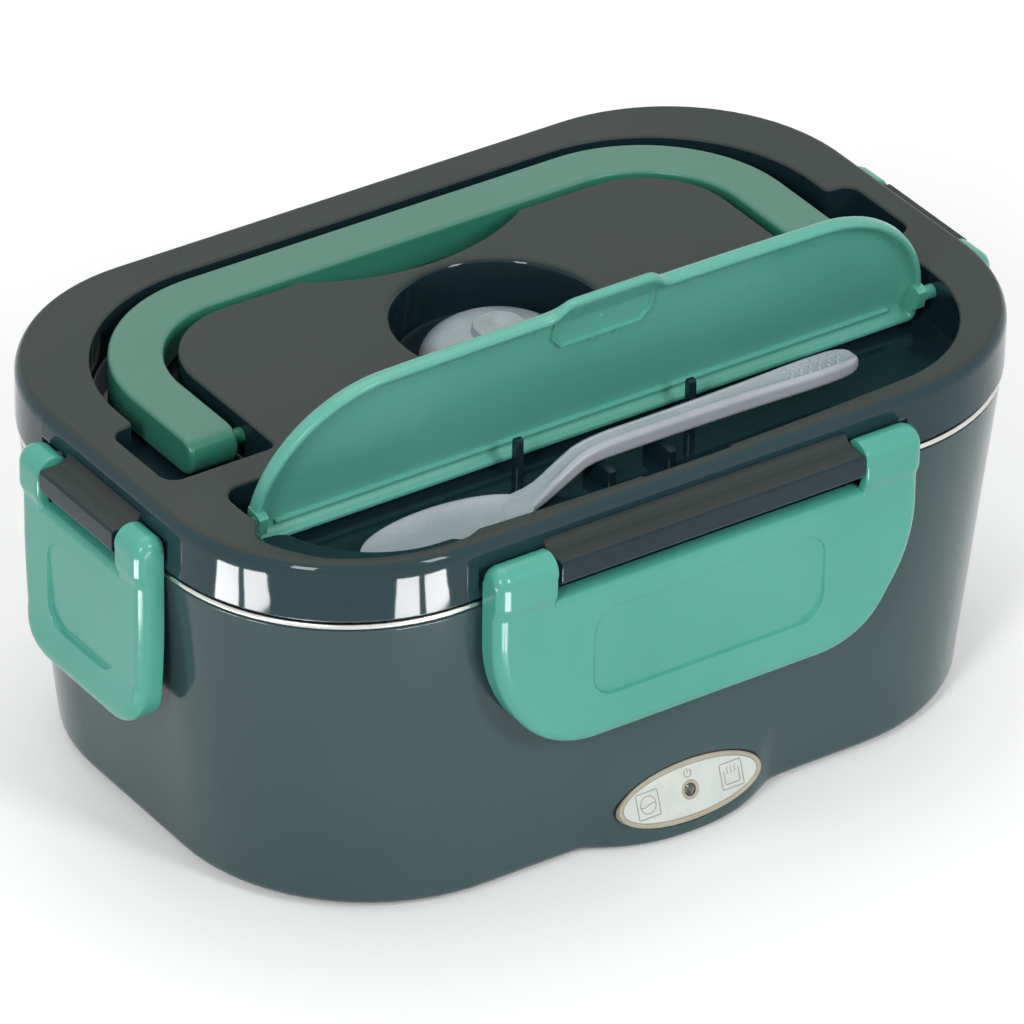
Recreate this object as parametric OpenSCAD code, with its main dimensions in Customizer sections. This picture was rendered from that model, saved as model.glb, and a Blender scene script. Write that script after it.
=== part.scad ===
// Heated lunch box: a tapered casing with a plate heater under a lift-out
// steel pot, and a lift-off lid held by four side latches. The lid carries a
// fold-down carrying handle, a steam valve in a round well, and a utensil bay
// with a spoon and a hinged cover. Origin: centre of the footprint, on the
// ground. +X runs along the length, -Y is the front, +Z is up.

/* [Overall] */
// Length of the steel rim, left to right
rim_length = 230; // [222:1:280]
// Depth of the steel rim, front to back
rim_depth = 152; // [150:1:185]
// Corner radius of the rim in plan
rim_corner = 50; // [46:1:54]
// Height of the casing's top edge above the ground
casing_top = 84; // [78:1:104]
// Height of the rubber feet
foot_height = 1.5; // [1:0.1:3]

/* [Casing] */
// Wall of the moulded casing
casing_wall = 2.2; // [1.8:0.1:3]
// Inward taper of the ends from top edge to bottom
taper_ends = 7.6; // [5:0.1:9]
// Inward taper of the front and back from top edge to bottom
taper_sides = 3.1; // [2:0.1:4.5]
// Radius of the casing's bottom edge
bottom_round = 3; // [1.5:0.5:4]
// Thickness of the bottom cover
cover_plate = 2.1; // [1.6:0.1:3]
// Half width of the bulge that carries the badge
bulge_half = 26; // [24:0.5:30]
// Reach of the bulge in front of the casing's bottom edge
bulge_reach = 8.4; // [7:0.1:10]
// Lean of the bulge's front face from the vertical, degrees
bulge_lean = 20.5; // [16:0.5:26]

/* [Pot and heater] */
// Sheet thickness of the steel pot
pot_sheet = 0.8; // [0.6:0.1:1.2]
// Inward taper of the pot's wall from flange to floor
pot_draft = 5; // [4:0.1:7]
// Width of the pot's rim flange
pot_flange = 7.2; // [6:0.1:9]
// Height of the pot's underside above the ground
pot_floor = 21.5; // [20:0.5:28]
// Wall of the liner that the pot hangs in
liner_wall = 1.6; // [1.2:0.1:2.4]
// Length of the heating plate
plate_length = 110; // [90:1:130]
// Depth of the heating plate
plate_depth = 70; // [56:1:84]

/* [Lid] */
// Height of the lid's top face above the casing's top edge
lid_rise = 18; // [17.5:0.5:22]
// Wall of the lid moulding
lid_wall = 2.2; // [1.8:0.1:2.6]
// Radius of the round valve well
well_r = 28.7; // [25:0.1:29.5]
// Radius of the silicone valve dome
dome_r = 19.5; // [16:0.1:22]
// Depth of the utensil bay, front to back
bay_depth = 47.2; // [46:0.1:49]
// Margin from the bay's end to the rim's end
bay_margin = 16; // [15:0.5:22]
// Margin from the bay's front edge to the rim's front
bay_lip = 4; // [4:0.1:6]
// Radius of the bay's front corners
bay_corner = 37; // [33:0.5:38]

/* [Handle] */
// Width of the carrying handle's bar seen from above
handle_width = 13.4; // [11:0.1:15]
// Thickness of the carrying handle
handle_thick = 10; // [8:0.1:10.5]
// Outer corner radius of the handle
handle_corner = 40; // [36:0.5:44]
// Gap beside the handle's arms, outside
arm_gap = 6.2; // [4:0.1:8]
// Gap behind the handle's back bar
back_gap = 2.5; // [2:0.1:5]
// Radius of the handle's pivot pins
handle_pin_r = 2; // [1.6:0.1:2.4]

/* [Utensil cover and spoon] */
// Angle at which the cover stands open, degrees
cover_open = 78.5; // [60:0.5:95]
// Depth of the cover's dish
cover_dish = 5; // [4:0.1:5.5]
// Wall of the cover
cover_wall = 1.8; // [1.4:0.1:2.2]
// Radius of the cover's hinge pins
cover_pin_r = 1.9; // [1.5:0.1:2.1]
// Length of the spoon
spoon_length = 145; // [125:1:160]
// Width of the spoon's handle
spoon_width = 6; // [5:0.1:7]

/* [Latches] */
// Half width of the front and back latches
latch_half_long = 60.5; // [54:0.5:64]
// Half width of the end latches
latch_half_short = 27; // [25:0.5:30]
// Length of a latch below its pivot
latch_drop = 50; // [44:0.5:54]
// Wall of a latch
latch_wall = 2.2; // [1.8:0.1:2.6]
// Outer radius of the latch around its pivot
latch_knuckle = 4.5; // [4.2:0.1:4.8]
// Radius of a latch's pivot pins
latch_pin_r = 1.6; // [1.3:0.1:1.8]
// Running clearance of a pin in its bore, on the radius
pin_clearance = 0.05; // [0.03:0.01:0.1]

/* [Hidden] */

// Smoothness of true round features, and of computed outlines
$fn = 48;
corner_steps = 9;
// Overshoot of a cut past the face that it opens
over = 1;
// Smallest gap between pieces that move apart
gap = 0.35;
// Gap between fixed pieces that sit in one another
seat = 0.2;

half_l = rim_length / 2;
half_d = rim_depth / 2;
lid_top = casing_top + lid_rise;

// Colours of the mouldings, steel and rubber
dark = [0.17, 0.24, 0.27];
green = [0.37, 0.68, 0.6];
pale = [0.85, 0.87, 0.87];
steel = [0.75, 0.76, 0.77];
milky = [0.78, 0.83, 0.84];
black = [0.08, 0.08, 0.09];
brass = [0.8, 0.66, 0.35];

// ---- shared outlines ----

// Points of an arc about c, from angle a to angle b
function arc(c, r, a, b, n = corner_steps) =
    [for (i = [0:n]) c + r * [cos(a + (b - a) * i / n), sin(a + (b - a) * i / n)]];

// The same arc without its two end points
function inner_arc(c, r, a, b, n = corner_steps) =
    [for (i = [1:n - 1]) c + r * [cos(a + (b - a) * i / n), sin(a + (b - a) * i / n)]];

// Rounded rectangle, counter-clockwise, from its half sizes
function round_rect(hx, hy, r) = concat(
    arc([hx - r, hy - r], r, 0, 90), arc([r - hx, hy - r], r, 90, 180),
    arc([r - hx, r - hy], r, 180, 270), arc([hx - r, r - hy], r, 270, 360));

// The rim's outline moved out by g, which is negative inside it
function rim_outline(g) = round_rect(half_l + g, half_d + g, rim_corner + g);

// D shape with bowed front and round front corners, grown by g.
// half: half width, back and front: y of the edges, r: front corner radius,
// drop: how far the bowed front stands out at its middle
function d_outline(half, back, front, r, back_r, drop, g) = let (
        cx = half - r,
        d = drop + r,
        cy = front + d,
        bow = (d * d + cx * cx - r * r) / (2 * (d - r)),
        turn = atan(cx / (bow - d)))
    concat(
        arc([half - back_r, back - back_r], back_r + g, 0, 90),
        arc([back_r - half, back - back_r], back_r + g, 90, 180),
        arc([-cx, cy], r + g, 180, 270 - turn),
        inner_arc([0, front + bow], bow + g, 270 - turn, 270 + turn),
        arc([cx, cy], r + g, 270 + turn, 360));

// Solid through a stack of outlines with equal point counts: [[points, z], ...]
module loft(rings) {
    n = len(rings[0][0]);
    last = len(rings) - 1;
    polyhedron(
        points = [for (k = rings) for (p = k[0]) [p[0], p[1], k[1]]],
        faces = concat(
            [[for (i = [0:n - 1]) i]],
            [[for (i = [n - 1:-1:0]) last * n + i]],
            [for (k = [0:last - 1]) for (i = [0:n - 1])
                let (j = (i + 1) % n)
                [k * n + i, (k + 1) * n + i, (k + 1) * n + j, k * n + j]]));
}

// Slab of an outline between two heights
module slab(points, z0, z1) {
    translate([0, 0, z0]) linear_extrude(z1 - z0) polygon(points);
}

// Cylinder along X, centred on x = 0 unless x0 is given
module along_x(r, x0, x1) {
    translate([x0, 0, 0]) rotate([0, 90, 0]) cylinder(r = r, h = x1 - x0);
}

// Cylinder along Y
module along_y(r, y0, y1) {
    translate([0, y1, 0]) rotate([90, 0, 0]) cylinder(r = r, h = y1 - y0);
}

// One copy on the left and one on the right
module both_ends() {
    children();
    mirror([1, 0, 0]) children();
}

// One copy in each quarter of the footprint
module each_corner(x, y) {
    for (sx = [-1, 1]) for (sy = [-1, 1]) translate([sx * x, sy * y, 0]) children();
}

// ---- casing ----

body_bottom = foot_height;
// Set-back of the casing's top edge from the rim
rim_setback = 0.3;

// Share of the taper at a height
function taper_at(z) = (casing_top - z) / (casing_top - body_bottom);

// The casing's outline at height z, moved out by g
function casing_outline(z, g) = let (t = taper_at(z))
    round_rect(half_l - rim_setback - taper_ends * t + g,
        half_d - rim_setback - taper_sides * t + g,
        rim_corner + 2 * t + g);

// y of the casing's front wall at height z
function front_wall(z) = -(half_d - rim_setback - taper_sides * taper_at(z));

// y of the casing's back wall at height z
function back_wall(z) = -front_wall(z);

// Ledge inside the casing that the liner's flange rests on
liner_seat = casing_top - 4.2;
ledge_reach = 2;
ledge_tall = 3;
// Underside of the ring inside the casing's foot that the cover screws against
cover_seat = body_bottom + cover_plate;
ring_thick = 2;
ring_reach = 5;
// Inset of the cover's opening from the rounded bottom edge
cover_inset = bottom_round + 1;

// Front-to-back position of the bulge's face at height z
bulge_front = front_wall(body_bottom) - bulge_reach;
function bulge_face(z) = bulge_front + (z - body_bottom) * tan(bulge_lean);
bulge_power = 2.6;
bulge_steps = 12;
bulge_root = 6;

// Catch bars under which the latches hook
catch_top = casing_top - 7;
catch_thick = 3;
catch_out = 0.35;
catch_root = 2.4;
catch_half_long = 34;
catch_half_short = 12;

// Centre of the badge on the bulge's face
badge_rise = 10.5;
badge_z = body_bottom + badge_rise;
badge_y = bulge_face(badge_z);
badge_a = 20.6;
badge_b = 7.4;
badge_pocket = 1.2;
lamp_hole_r = 2.6;
// Room behind the badge for the lamp's board, and how far it cuts into the wall
lamp_room = [30, 8, 14];
lamp_room_cut = 0.6;

// Inlets in the back wall: bodies, sockets and the flanges outside the wall
lead_r = 0.8;
inlet_reach = 12;
mains_x = -22;
car_x = 22;
mains_body = [19.4, 10];
mains_depth = 18;
mains_socket_r = 3.6;
mains_socket_depth = 13;
mains_lip = 2;
mains_pin_r = 1.1;
mains_pin_root = 22;
pin_pitch = 8.4;
car_body_r = 5.2;
car_depth = 15;
car_socket_r = 2.9;
car_socket_depth = 11;
car_lip = 1.8;
car_pin_r = 1;
car_pin_root = 19;
inlet_flange = 1.2;
// Gap between an inlet's flange and the wall, and the play of its pins
flange_gap = 0.3;
pin_play = 0.05;

module bulge_plan() {
    reach = bulge_reach;
    wall = front_wall(body_bottom);
    polygon(concat(
        [for (i = [-bulge_steps:bulge_steps]) let (x = i / bulge_steps)
            [x * bulge_half, wall - reach * (1 - pow(abs(x), bulge_power))]],
        [[bulge_half, wall + bulge_root], [-bulge_half, wall + bulge_root]]));
}

// The bulge: its plan cut by the leaning front face
module bulge() {
    top = body_bottom + (bulge_reach + bulge_root) / tan(bulge_lean);
    intersection() {
        translate([0, 0, body_bottom]) linear_extrude(top - body_bottom) bulge_plan();
        rotate([90, 0, 90]) translate([0, 0, -bulge_half - over])
            linear_extrude(2 * (bulge_half + over)) polygon([
                [bulge_front, body_bottom], [bulge_face(top), top],
                [front_wall(body_bottom) + bulge_root + over, top],
                [front_wall(body_bottom) + bulge_root + over, body_bottom]]);
    }
}

// Moves children onto the badge's centre, z along the face's normal
module on_badge() {
    translate([0, badge_y, badge_z]) rotate([90 - bulge_lean, 0, 0]) children();
}

module ellipse_slab(a, b, z0, z1) {
    steps = 48;
    slab([for (i = [0:steps - 1]) [a * cos(360 * i / steps), b * sin(360 * i / steps)]],
        z0, z1);
}

module outer_shell() {
    color(dark) difference() {
        union() {
            loft([
                [casing_outline(body_bottom, -bottom_round), body_bottom],
                [casing_outline(body_bottom, -bottom_round * 0.3),
                    body_bottom + bottom_round * 0.3],
                [casing_outline(body_bottom + bottom_round, 0), body_bottom + bottom_round],
                [casing_outline(casing_top, 0), casing_top]]);
            bulge();
            catch_bars();
        }
        // room inside, with the ledge for the liner near the top
        loft([
            [casing_outline(cover_seat + ring_thick, -casing_wall), cover_seat + ring_thick],
            [casing_outline(liner_seat - 2 * ledge_tall, -casing_wall),
                liner_seat - 2 * ledge_tall],
            [casing_outline(liner_seat - ledge_tall, -casing_wall - ledge_reach),
                liner_seat - ledge_tall],
            [casing_outline(liner_seat, -casing_wall - ledge_reach), liner_seat],
            [casing_outline(liner_seat, -casing_wall), liner_seat],
            [casing_outline(casing_top, -casing_wall), casing_top + over]]);
        // opening through the ring, and the seat of the cover below it
        slab(casing_outline(cover_seat, -casing_wall - ring_reach), cover_seat - over,
            cover_seat + ring_thick + over);
        slab(casing_outline(body_bottom, -cover_inset), body_bottom - over, cover_seat);
        // badge seat, lamp hole and the room behind it
        on_badge() ellipse_slab(badge_a + seat, badge_b + seat, -badge_pocket, over);
        on_badge() translate([0, 0, -lamp_room[1] - 2])
            cylinder(r = lamp_hole_r, h = lamp_room[1] + 2);
        translate([-lamp_room[0] / 2, front_wall(badge_z) - lamp_room_cut,
            cover_seat + ring_thick])
            cube(lamp_room);
        // inlet holes
        translate([mains_x - mains_body[0] / 2 - seat, half_d - inlet_reach,
            inlet_z - mains_body[1] / 2 - seat])
            cube([mains_body[0] + 2 * seat, 2 * inlet_reach, mains_body[1] + 2 * seat]);
        translate([car_x, 0, inlet_z])
            along_y(car_body_r + seat, half_d - inlet_reach, half_d + inlet_reach);
    }
}

module catch_bars() {
    z0 = catch_top - catch_thick;
    for (s = [-1, 1]) {
        translate([-catch_half_long, s > 0 ? half_d - catch_root : -half_d - catch_out, z0])
            cube([2 * catch_half_long, catch_root + catch_out, catch_thick]);
        translate([s > 0 ? half_l - catch_root : -half_l - catch_out, -catch_half_short, z0])
            cube([catch_root + catch_out, 2 * catch_half_short, catch_thick]);
    }
}

// ---- pot ----

pot_rest = casing_top + gap;
bead = 1.6;
flange_z = pot_rest + (bead - pot_sheet) / 2;

// Curve from the pot's floor into its wall: inset from the wall, height
pot_curve = [[5.8, 0], [2.3, 1.2], [0.6, 5], [0, 10]];

// Outside of the pot below its flange, moved out by g, as loft rings
function pot_rings(g) = [for (i = [0:3])
    [rim_outline(g - pot_flange - pot_draft - pot_curve[i][0]),
        pot_floor + pot_curve[i][1] - (i < 2 ? g : 0)]];

module steel_pot() {
    flange_top = flange_z + pot_sheet;
    color(steel) difference() {
        union() {
            loft(concat(pot_rings(0), [[rim_outline(-pot_flange), flange_z + pot_sheet / 2]]));
            slab(rim_outline(-bead / 2), flange_z, flange_top);
            rolled_bead();
        }
        // inside of the pot
        loft(concat(pot_rings(-pot_sheet), [
            [rim_outline(-pot_flange - pot_sheet), flange_z],
            [rim_outline(-pot_flange - pot_sheet), flange_top + over]]));
    }
}

// The rolled edge around the flange
module rolled_bead() {
    difference() {
        loft([
            [rim_outline(-bead * 0.4), pot_rest],
            [rim_outline(-bead * 0.1), pot_rest + bead * 0.2],
            [rim_outline(0), pot_rest + bead * 0.5],
            [rim_outline(-bead * 0.1), pot_rest + bead * 0.8],
            [rim_outline(-bead * 0.4), pot_rest + bead]]);
        slab(rim_outline(-bead), pot_rest - over, pot_rest + bead + over);
    }
}

// ---- liner ----

liner_gap = 1;
liner_flange = 2;
liner_top_gap = 0.3;

// Outside of the liner moved in by g, as loft rings
function liner_rings(g) = [
    [rim_outline(-pot_flange - pot_draft - 5.8 - g), pot_floor + g],
    [rim_outline(-pot_flange - pot_draft - 0.8 - g), pot_floor + 1 + g],
    [rim_outline(-pot_flange - pot_draft - g), pot_floor + 10],
    [rim_outline(-pot_flange - liner_top_gap - g), liner_seat + liner_flange]];

module inner_liner() {
    out = liner_gap + liner_wall;
    color(black) difference() {
        union() {
            loft(liner_rings(-out));
            slab(casing_outline(liner_seat, -casing_wall - seat), liner_seat,
                liner_seat + liner_flange);
            // posts for the bottom screws
            each_corner(post_x, post_y) translate([0, 0, post_foot])
                cylinder(r = post_r, h = pot_floor - out + 0.5 - post_foot);
        }
        loft(concat(liner_rings(-liner_gap), [
            [rim_outline(liner_gap - pot_flange - liner_top_gap),
                liner_seat + liner_flange + over]]));
        // hole for the heating plate
        slab(round_rect(plate_length / 2 + seat, plate_depth / 2 + seat, plate_corner),
            pot_floor - out - over, pot_floor);
        each_corner(post_x, post_y) translate([0, 0, post_foot - over])
            cylinder(r = screw_r, h = post_bore + over);
    }
}

post_x = half_l - 48;
post_y = half_d - 34;
post_r = 3.6;
post_foot = cover_seat + seat;
post_bore = 10;
screw_r = 1.45;
screw_head_r = 2.8;
screw_head_tall = 1.1;
// Recess of the screw's head in the cover, and its play around head and shank
head_recess = 1.3;
head_play = 0.3;
shank_play = 0.25;

// ---- bottom ----

foot_r = 6.5;
foot_sink = 0.7;
foot_draft = 0.6;
foot_x = half_l - 36;
foot_y = half_d - 24;

module base_cover() {
    color(black) difference() {
        slab(casing_outline(body_bottom, -cover_inset - seat), body_bottom, cover_seat);
        each_corner(post_x, post_y) {
            translate([0, 0, body_bottom - over])
                cylinder(r = screw_r + shank_play, h = cover_plate + 2 * over);
            translate([0, 0, body_bottom - over])
                cylinder(r = screw_head_r + head_play, h = over + head_recess);
        }
        each_corner(foot_x, foot_y) translate([0, 0, body_bottom - over])
            cylinder(r = foot_r + seat, h = over + foot_sink);
        // cooling slots under the heater
        for (i = [-4:4])
            translate([i * vent_pitch - vent[0] / 2, -vent[1] / 2, body_bottom - over])
                cube([vent[0], vent[1], cover_plate + 2 * over]);
    }
}

vent = [2.5, 32];
vent_pitch = 8;

module feet() {
    color(black) each_corner(foot_x, foot_y) {
        cylinder(r1 = foot_r - foot_draft, r2 = foot_r, h = foot_height);
        translate([0, 0, foot_height]) cylinder(r = foot_r, h = foot_sink);
    }
}

module base_screws() {
    color(steel) each_corner(post_x, post_y) translate([0, 0, body_bottom]) difference() {
        union() {
            translate([0, 0, head_recess - screw_head_tall])
                cylinder(r = screw_head_r, h = screw_head_tall);
            translate([0, 0, head_recess]) cylinder(r = screw_r, h = post_bore - 1);
        }
        // cross slot in the head
        for (a = [0, 90]) rotate(a) translate([-cross[0] / 2, -cross[1] / 2, 0]) cube(cross);
    }
}

cross = [3.4, 0.6, 0.8];

// ---- heater ----

plate_top = pot_floor - gap;
plate_corner = 8;
plate_lip = 4;
plate_lip_thick = 1.6;
liner_under = pot_floor - liner_gap - liner_wall;
flange_under = liner_under - plate_lip_thick;
ptc = [62, 26, 5];
// Height of the inlets and of the leads that run to the heater
lead_z = flange_under - ptc[2] + lead_r;
inlet_z = lead_z;

module heating_plate() {
    color(steel) union() {
        slab(round_rect(plate_length / 2, plate_depth / 2, plate_corner),
            liner_under, plate_top);
        slab(round_rect(plate_length / 2 + plate_lip, plate_depth / 2 + plate_lip,
            plate_corner + 2), flange_under, liner_under);
    }
}

module ptc_heater() {
    color(brass) translate([-ptc[0] / 2, -ptc[1] / 2, flange_under - ptc[2]]) cube(ptc);
}

clip_thick = 1.2;
clip_half = ptc[0] / 2 + 8;
clip_depth = 12;
clip_screw_x = clip_half - 3;
clip_screw_r = 1.45;
clip_head = [2.7, 1.4];

module heater_clip() {
    z0 = flange_under - ptc[2] - clip_thick;
    color(steel) difference() {
        union() {
            translate([-ptc[0] / 2 - clip_thick - seat, -clip_depth / 2, z0])
                cube([ptc[0] + 2 * (clip_thick + seat), clip_depth, clip_thick]);
            both_ends() {
                translate([ptc[0] / 2 + seat, -clip_depth / 2, z0])
                    cube([clip_thick, clip_depth, flange_under - z0]);
                translate([ptc[0] / 2 + seat, -clip_depth / 2, flange_under - clip_thick])
                    cube([clip_half - ptc[0] / 2, clip_depth, clip_thick]);
            }
        }
        both_ends() translate([clip_screw_x, 0, z0])
            cylinder(r = clip_screw_r + 0.1, h = flange_under - z0 + over);
    }
}

module clip_screws() {
    color(steel) both_ends()
        translate([clip_screw_x, 0, flange_under - clip_thick - clip_head[1]]) {
            cylinder(r = clip_head[0], h = clip_head[1]);
            cylinder(r = clip_screw_r, h = clip_head[1] + clip_thick);
        }
}

thermostat_at = [24, -24];
thermostat_r = 8;
thermostat_tall = 6;
terminal = [2, 3, 3];

module thermostat() {
    color(steel) translate([thermostat_at[0], thermostat_at[1],
        flange_under - thermostat_tall]) {
        cylinder(r = thermostat_r, h = thermostat_tall);
        for (s = [-1, 1])
            translate([s * (thermostat_r - terminal[0]) - terminal[0] / 2,
                -terminal[1] / 2, -terminal[2]])
                cube(terminal);
    }
}

fuse_r = 2;
fuse_length = 14;
fuse_y = 22;

module thermal_fuse() {
    color(pale) translate([-fuse_length / 2, fuse_y, flange_under - fuse_r])
        along_x(fuse_r, 0, fuse_length);
}

// ---- inlets and leads ----

module mains_inlet() {
    w = mains_body[0];
    h = mains_body[1];
    back = back_wall(inlet_z);
    color(black) difference() {
        union() {
            translate([mains_x - w / 2, back - mains_depth, inlet_z - h / 2])
                cube([w, mains_depth + 0.5, h]);
            translate([mains_x - w / 2 - mains_lip, back + flange_gap,
                inlet_z - h / 2 - mains_lip])
                cube([w + 2 * mains_lip, inlet_flange, h + 2 * mains_lip]);
        }
        // double-round socket
        for (s = [-1, 1]) translate([mains_x + s * pin_pitch / 2, 0, inlet_z])
            along_y(mains_socket_r, back - mains_socket_depth, back + 3);
        translate([mains_x - pin_pitch / 2, back - mains_socket_depth,
            inlet_z - mains_socket_r * 2 / 3])
            cube([pin_pitch, mains_socket_depth + 3, mains_socket_r * 4 / 3]);
        for (s = [-1, 1]) translate([mains_x + s * pin_pitch / 2, 0, inlet_z])
            along_y(mains_pin_r + pin_play, back - mains_depth - 2,
                back - mains_socket_depth + over);
    }
}

module mains_pins() {
    back = back_wall(inlet_z);
    color(steel) for (s = [-1, 1]) translate([mains_x + s * pin_pitch / 2, 0, inlet_z])
        along_y(mains_pin_r, back - mains_pin_root, back - 4);
}

module car_inlet() {
    back = back_wall(inlet_z);
    color(black) translate([car_x, 0, inlet_z]) difference() {
        union() {
            along_y(car_body_r, back - car_depth, back + 0.5);
            along_y(car_body_r + car_lip, back + flange_gap,
                back + flange_gap + inlet_flange);
        }
        along_y(car_socket_r, back - car_socket_depth, back + 3);
        along_y(car_pin_r + pin_play, back - car_depth - over,
            back - car_socket_depth + over);
    }
}

module car_pin() {
    back = back_wall(inlet_z);
    color(steel) translate([car_x, 0, inlet_z]) along_y(car_pin_r, back - car_pin_root, back - 3);
}

module heater_leads() {
    back = back_wall(inlet_z);
    color("firebrick") {
        for (s = [-1, 1]) translate([mains_x + s * pin_pitch / 2, 0, lead_z])
            along_y(lead_r, ptc[1] / 2, back - mains_pin_root);
        translate([car_x, 0, lead_z]) along_y(lead_r, ptc[1] / 2, back - car_pin_root);
    }
}

lamp_lead_x = 6;

module lamp_leads() {
    color("firebrick") for (s = [-1, 1]) translate([s * lamp_lead_x, 0, lead_z])
        along_y(lead_r, board_y + board_thick, -ptc[1] / 2);
}

board_thick = 1.2;
board = [26, board_thick, 12];
board_y = front_wall(badge_z) + 3.5;
board_z = cover_seat + ring_thick + 0.6;
lamp_r = 1.5;

module lamp_board() {
    color("darkgreen") translate([-board[0] / 2, board_y, board_z]) cube(board);
}

module status_lamp() {
    reach = (board_y - badge_y) / cos(bulge_lean) - 0.6;
    color(pale) on_badge() translate([0, 0, -reach])
        cylinder(r = lamp_r, h = reach - badge_pocket);
}

// ---- badge ----

frame_band = 1.3;
frame_proud = 0.5;
panel_proud = 0.3;
lens_r = 2.4;
lens_proud = 0.4;
// Gap around the panel and around the lens
badge_gap = 0.05;

module badge_frame() {
    color([0.75, 0.72, 0.66]) on_badge() difference() {
        ellipse_slab(badge_a, badge_b, -badge_pocket, frame_proud);
        ellipse_slab(badge_a - frame_band, badge_b - frame_band, -badge_pocket - over,
            frame_proud + over);
    }
}

module badge_panel() {
    inset = frame_band + badge_gap;
    color([0.88, 0.92, 0.91]) on_badge() difference() {
        ellipse_slab(badge_a - inset, badge_b - inset, -badge_pocket, panel_proud);
        translate([0, 0, -badge_pocket - over])
            cylinder(r = lens_r + badge_gap, h = badge_pocket + panel_proud + 2 * over);
    }
}

module lamp_lens() {
    color([0.6, 0.6, 0.58]) on_badge() translate([0, 0, -badge_pocket])
        cylinder(r = lens_r, h = badge_pocket + lens_proud);
}

// ---- lid ----

lid_base = pot_rest + bead + gap;
floor_thick = 1.6;
tub_wall = 2;
// Underside of the lid's tubs, clear of the pot's flange, and their floors
tub_under = lid_base - 0.3;
bay_floor = tub_under + floor_thick;
well_floor = bay_floor;
skirt_out = 0.3;
inner_crown = lid_top - lid_wall;

// Utensil bay
bay_half = half_l - bay_margin;
bay_front = bay_lip - half_d;
bay_back = bay_front + bay_depth;
bay_back_r = 3;
bay_bow = 2;
bay_cx = bay_half - bay_corner;
bay_cy = bay_front + bay_bow + bay_corner;

function bay_outline(g) = d_outline(bay_half, bay_back, bay_front, bay_corner,
    bay_back_r, bay_bow, g);

// Hinge of the utensil cover, its tab, and the notch for it in the front lip
cover_z = lid_top - 5.2;
cover_y = bay_back - 9.5;
tab_half = 11;
tab_r = 3;
tab_root = 18;
notch_cut = 1.6;

// Valve well
well_y = bay_back + 2 + well_r;
well_lip = 2.4;
well_flare = 1.8;
stem_r = 3;

// Carrying handle, its channel, and the island that the channel goes round
handle_half = half_l - 21.2;
handle_back = half_d - 14.5;
handle_z = lid_top - handle_thick / 2 - 0.2;
pivot_y = 0.7;
inner_gap = 3.4;
channel_half = handle_half + arm_gap;
channel_back = handle_back + back_gap;
channel_r = handle_corner + arm_gap;
channel_floor = handle_z - handle_thick / 2 - 0.8;
pocket_front = pivot_y - 15.7;
pocket_back = pivot_y + 10.3;
pocket_out = half_l - 8;
island_half = handle_half - handle_width - inner_gap;
island_back = handle_back - handle_width - inner_gap;
island_r = handle_corner - handle_width - inner_gap;
scoop_r = 59.7;
scoop_y = well_y + well_r + 0.7 + scoop_r;
pin_depth = 3.5;

// Arch shape: straight sides from y = foot up into two round back corners
function arch(half, back, r, foot) = concat(
    arc([half - r, back - r], r, 0, 90), arc([r - half, back - r], r, 90, 180),
    [[-half, foot], [half, foot]]);

// The channel grown by g, between two heights
module channel(g, z0, z1) {
    difference() {
        union() {
            slab(arch(channel_half + g, channel_back + g, channel_r + g, pocket_front - g),
                z0, z1);
            slab(round_box(-pocket_out - g, pocket_front - g, pocket_out + g,
                pocket_back + g, 4 + g), z0, z1);
        }
        difference() {
            slab(arch(island_half - g, island_back - g, island_r - g, pocket_front - g - over),
                z0 - over, z1 + over);
            translate([0, scoop_y, z0 - over]) cylinder(r = scoop_r + g, h = z1 - z0 + 2 * over);
        }
    }
}

// Rounded rectangle between two corners
function round_box(x0, y0, x1, y1, r) = concat(
    arc([x1 - r, y1 - r], r, 0, 90, 5), arc([x0 + r, y1 - r], r, 90, 180, 5),
    arc([x0 + r, y0 + r], r, 180, 270, 5), arc([x1 - r, y0 + r], r, 270, 360, 5));

// Finger dip at the bay's front left corner: a shelf with a flared cut above,
// between two angles around the corner's centre
shelf_top = cover_z - 0.45;
shelf_r = bay_corner - 7;
dip_r = bay_corner + 7;
dip_angles = [194, 276];

module dip_wedge(z0, z1) {
    far = dip_r + 16;
    middle = (dip_angles[0] + dip_angles[1]) / 2;
    translate([-bay_cx, bay_cy, 0]) slab(concat([[0, 0]],
        [for (a = [dip_angles[0], middle, dip_angles[1]]) far * [cos(a), sin(a)]]), z0, z1);
}

module dip_shelf() {
    intersection() {
        slab(bay_outline(tub_wall / 2), bay_floor - over / 2, shelf_top);
        difference() {
            dip_wedge(bay_floor - over, lid_top);
            translate([-bay_cx, bay_cy, bay_floor - over])
                cylinder(r = shelf_r, h = lid_top - bay_floor + 2 * over);
        }
    }
}

module dip_cut() {
    intersection() {
        translate([-bay_cx, bay_cy, shelf_top + 0.2])
            cylinder(r1 = bay_corner - 0.6, r2 = dip_r + 1, h = lid_top + over - shelf_top);
        dip_wedge(shelf_top, lid_top + over);
    }
}

// Rests and pegs on the bay's floor that hold the spoon
peg_thick = 2.2;
peg_depth = 2.4;
rest_depth = 11;
rest_front = 6.8;
rest_x = 8.6;
rest_top = lid_top - 9.35;
peg_x = 24.8;
peg_top = lid_top - 3;
peg_front = 8;
spoon_y = bay_back - 23;

module pegs() {
    both_ends() {
        translate([rest_x - peg_thick / 2, spoon_y - rest_front, bay_floor - over / 2])
            cube([peg_thick, rest_depth, rest_top - bay_floor + over / 2]);
        // peg with a round top
        translate([peg_x - peg_thick / 2, spoon_y + peg_front, bay_floor - over / 2])
            cube([peg_thick, peg_depth, peg_top - bay_floor - 1 + over / 2]);
        translate([peg_x - peg_thick / 2, spoon_y + peg_front + peg_depth / 2,
            peg_top - peg_depth / 2])
            along_x(peg_depth / 2, 0, peg_thick);
    }
}

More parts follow.
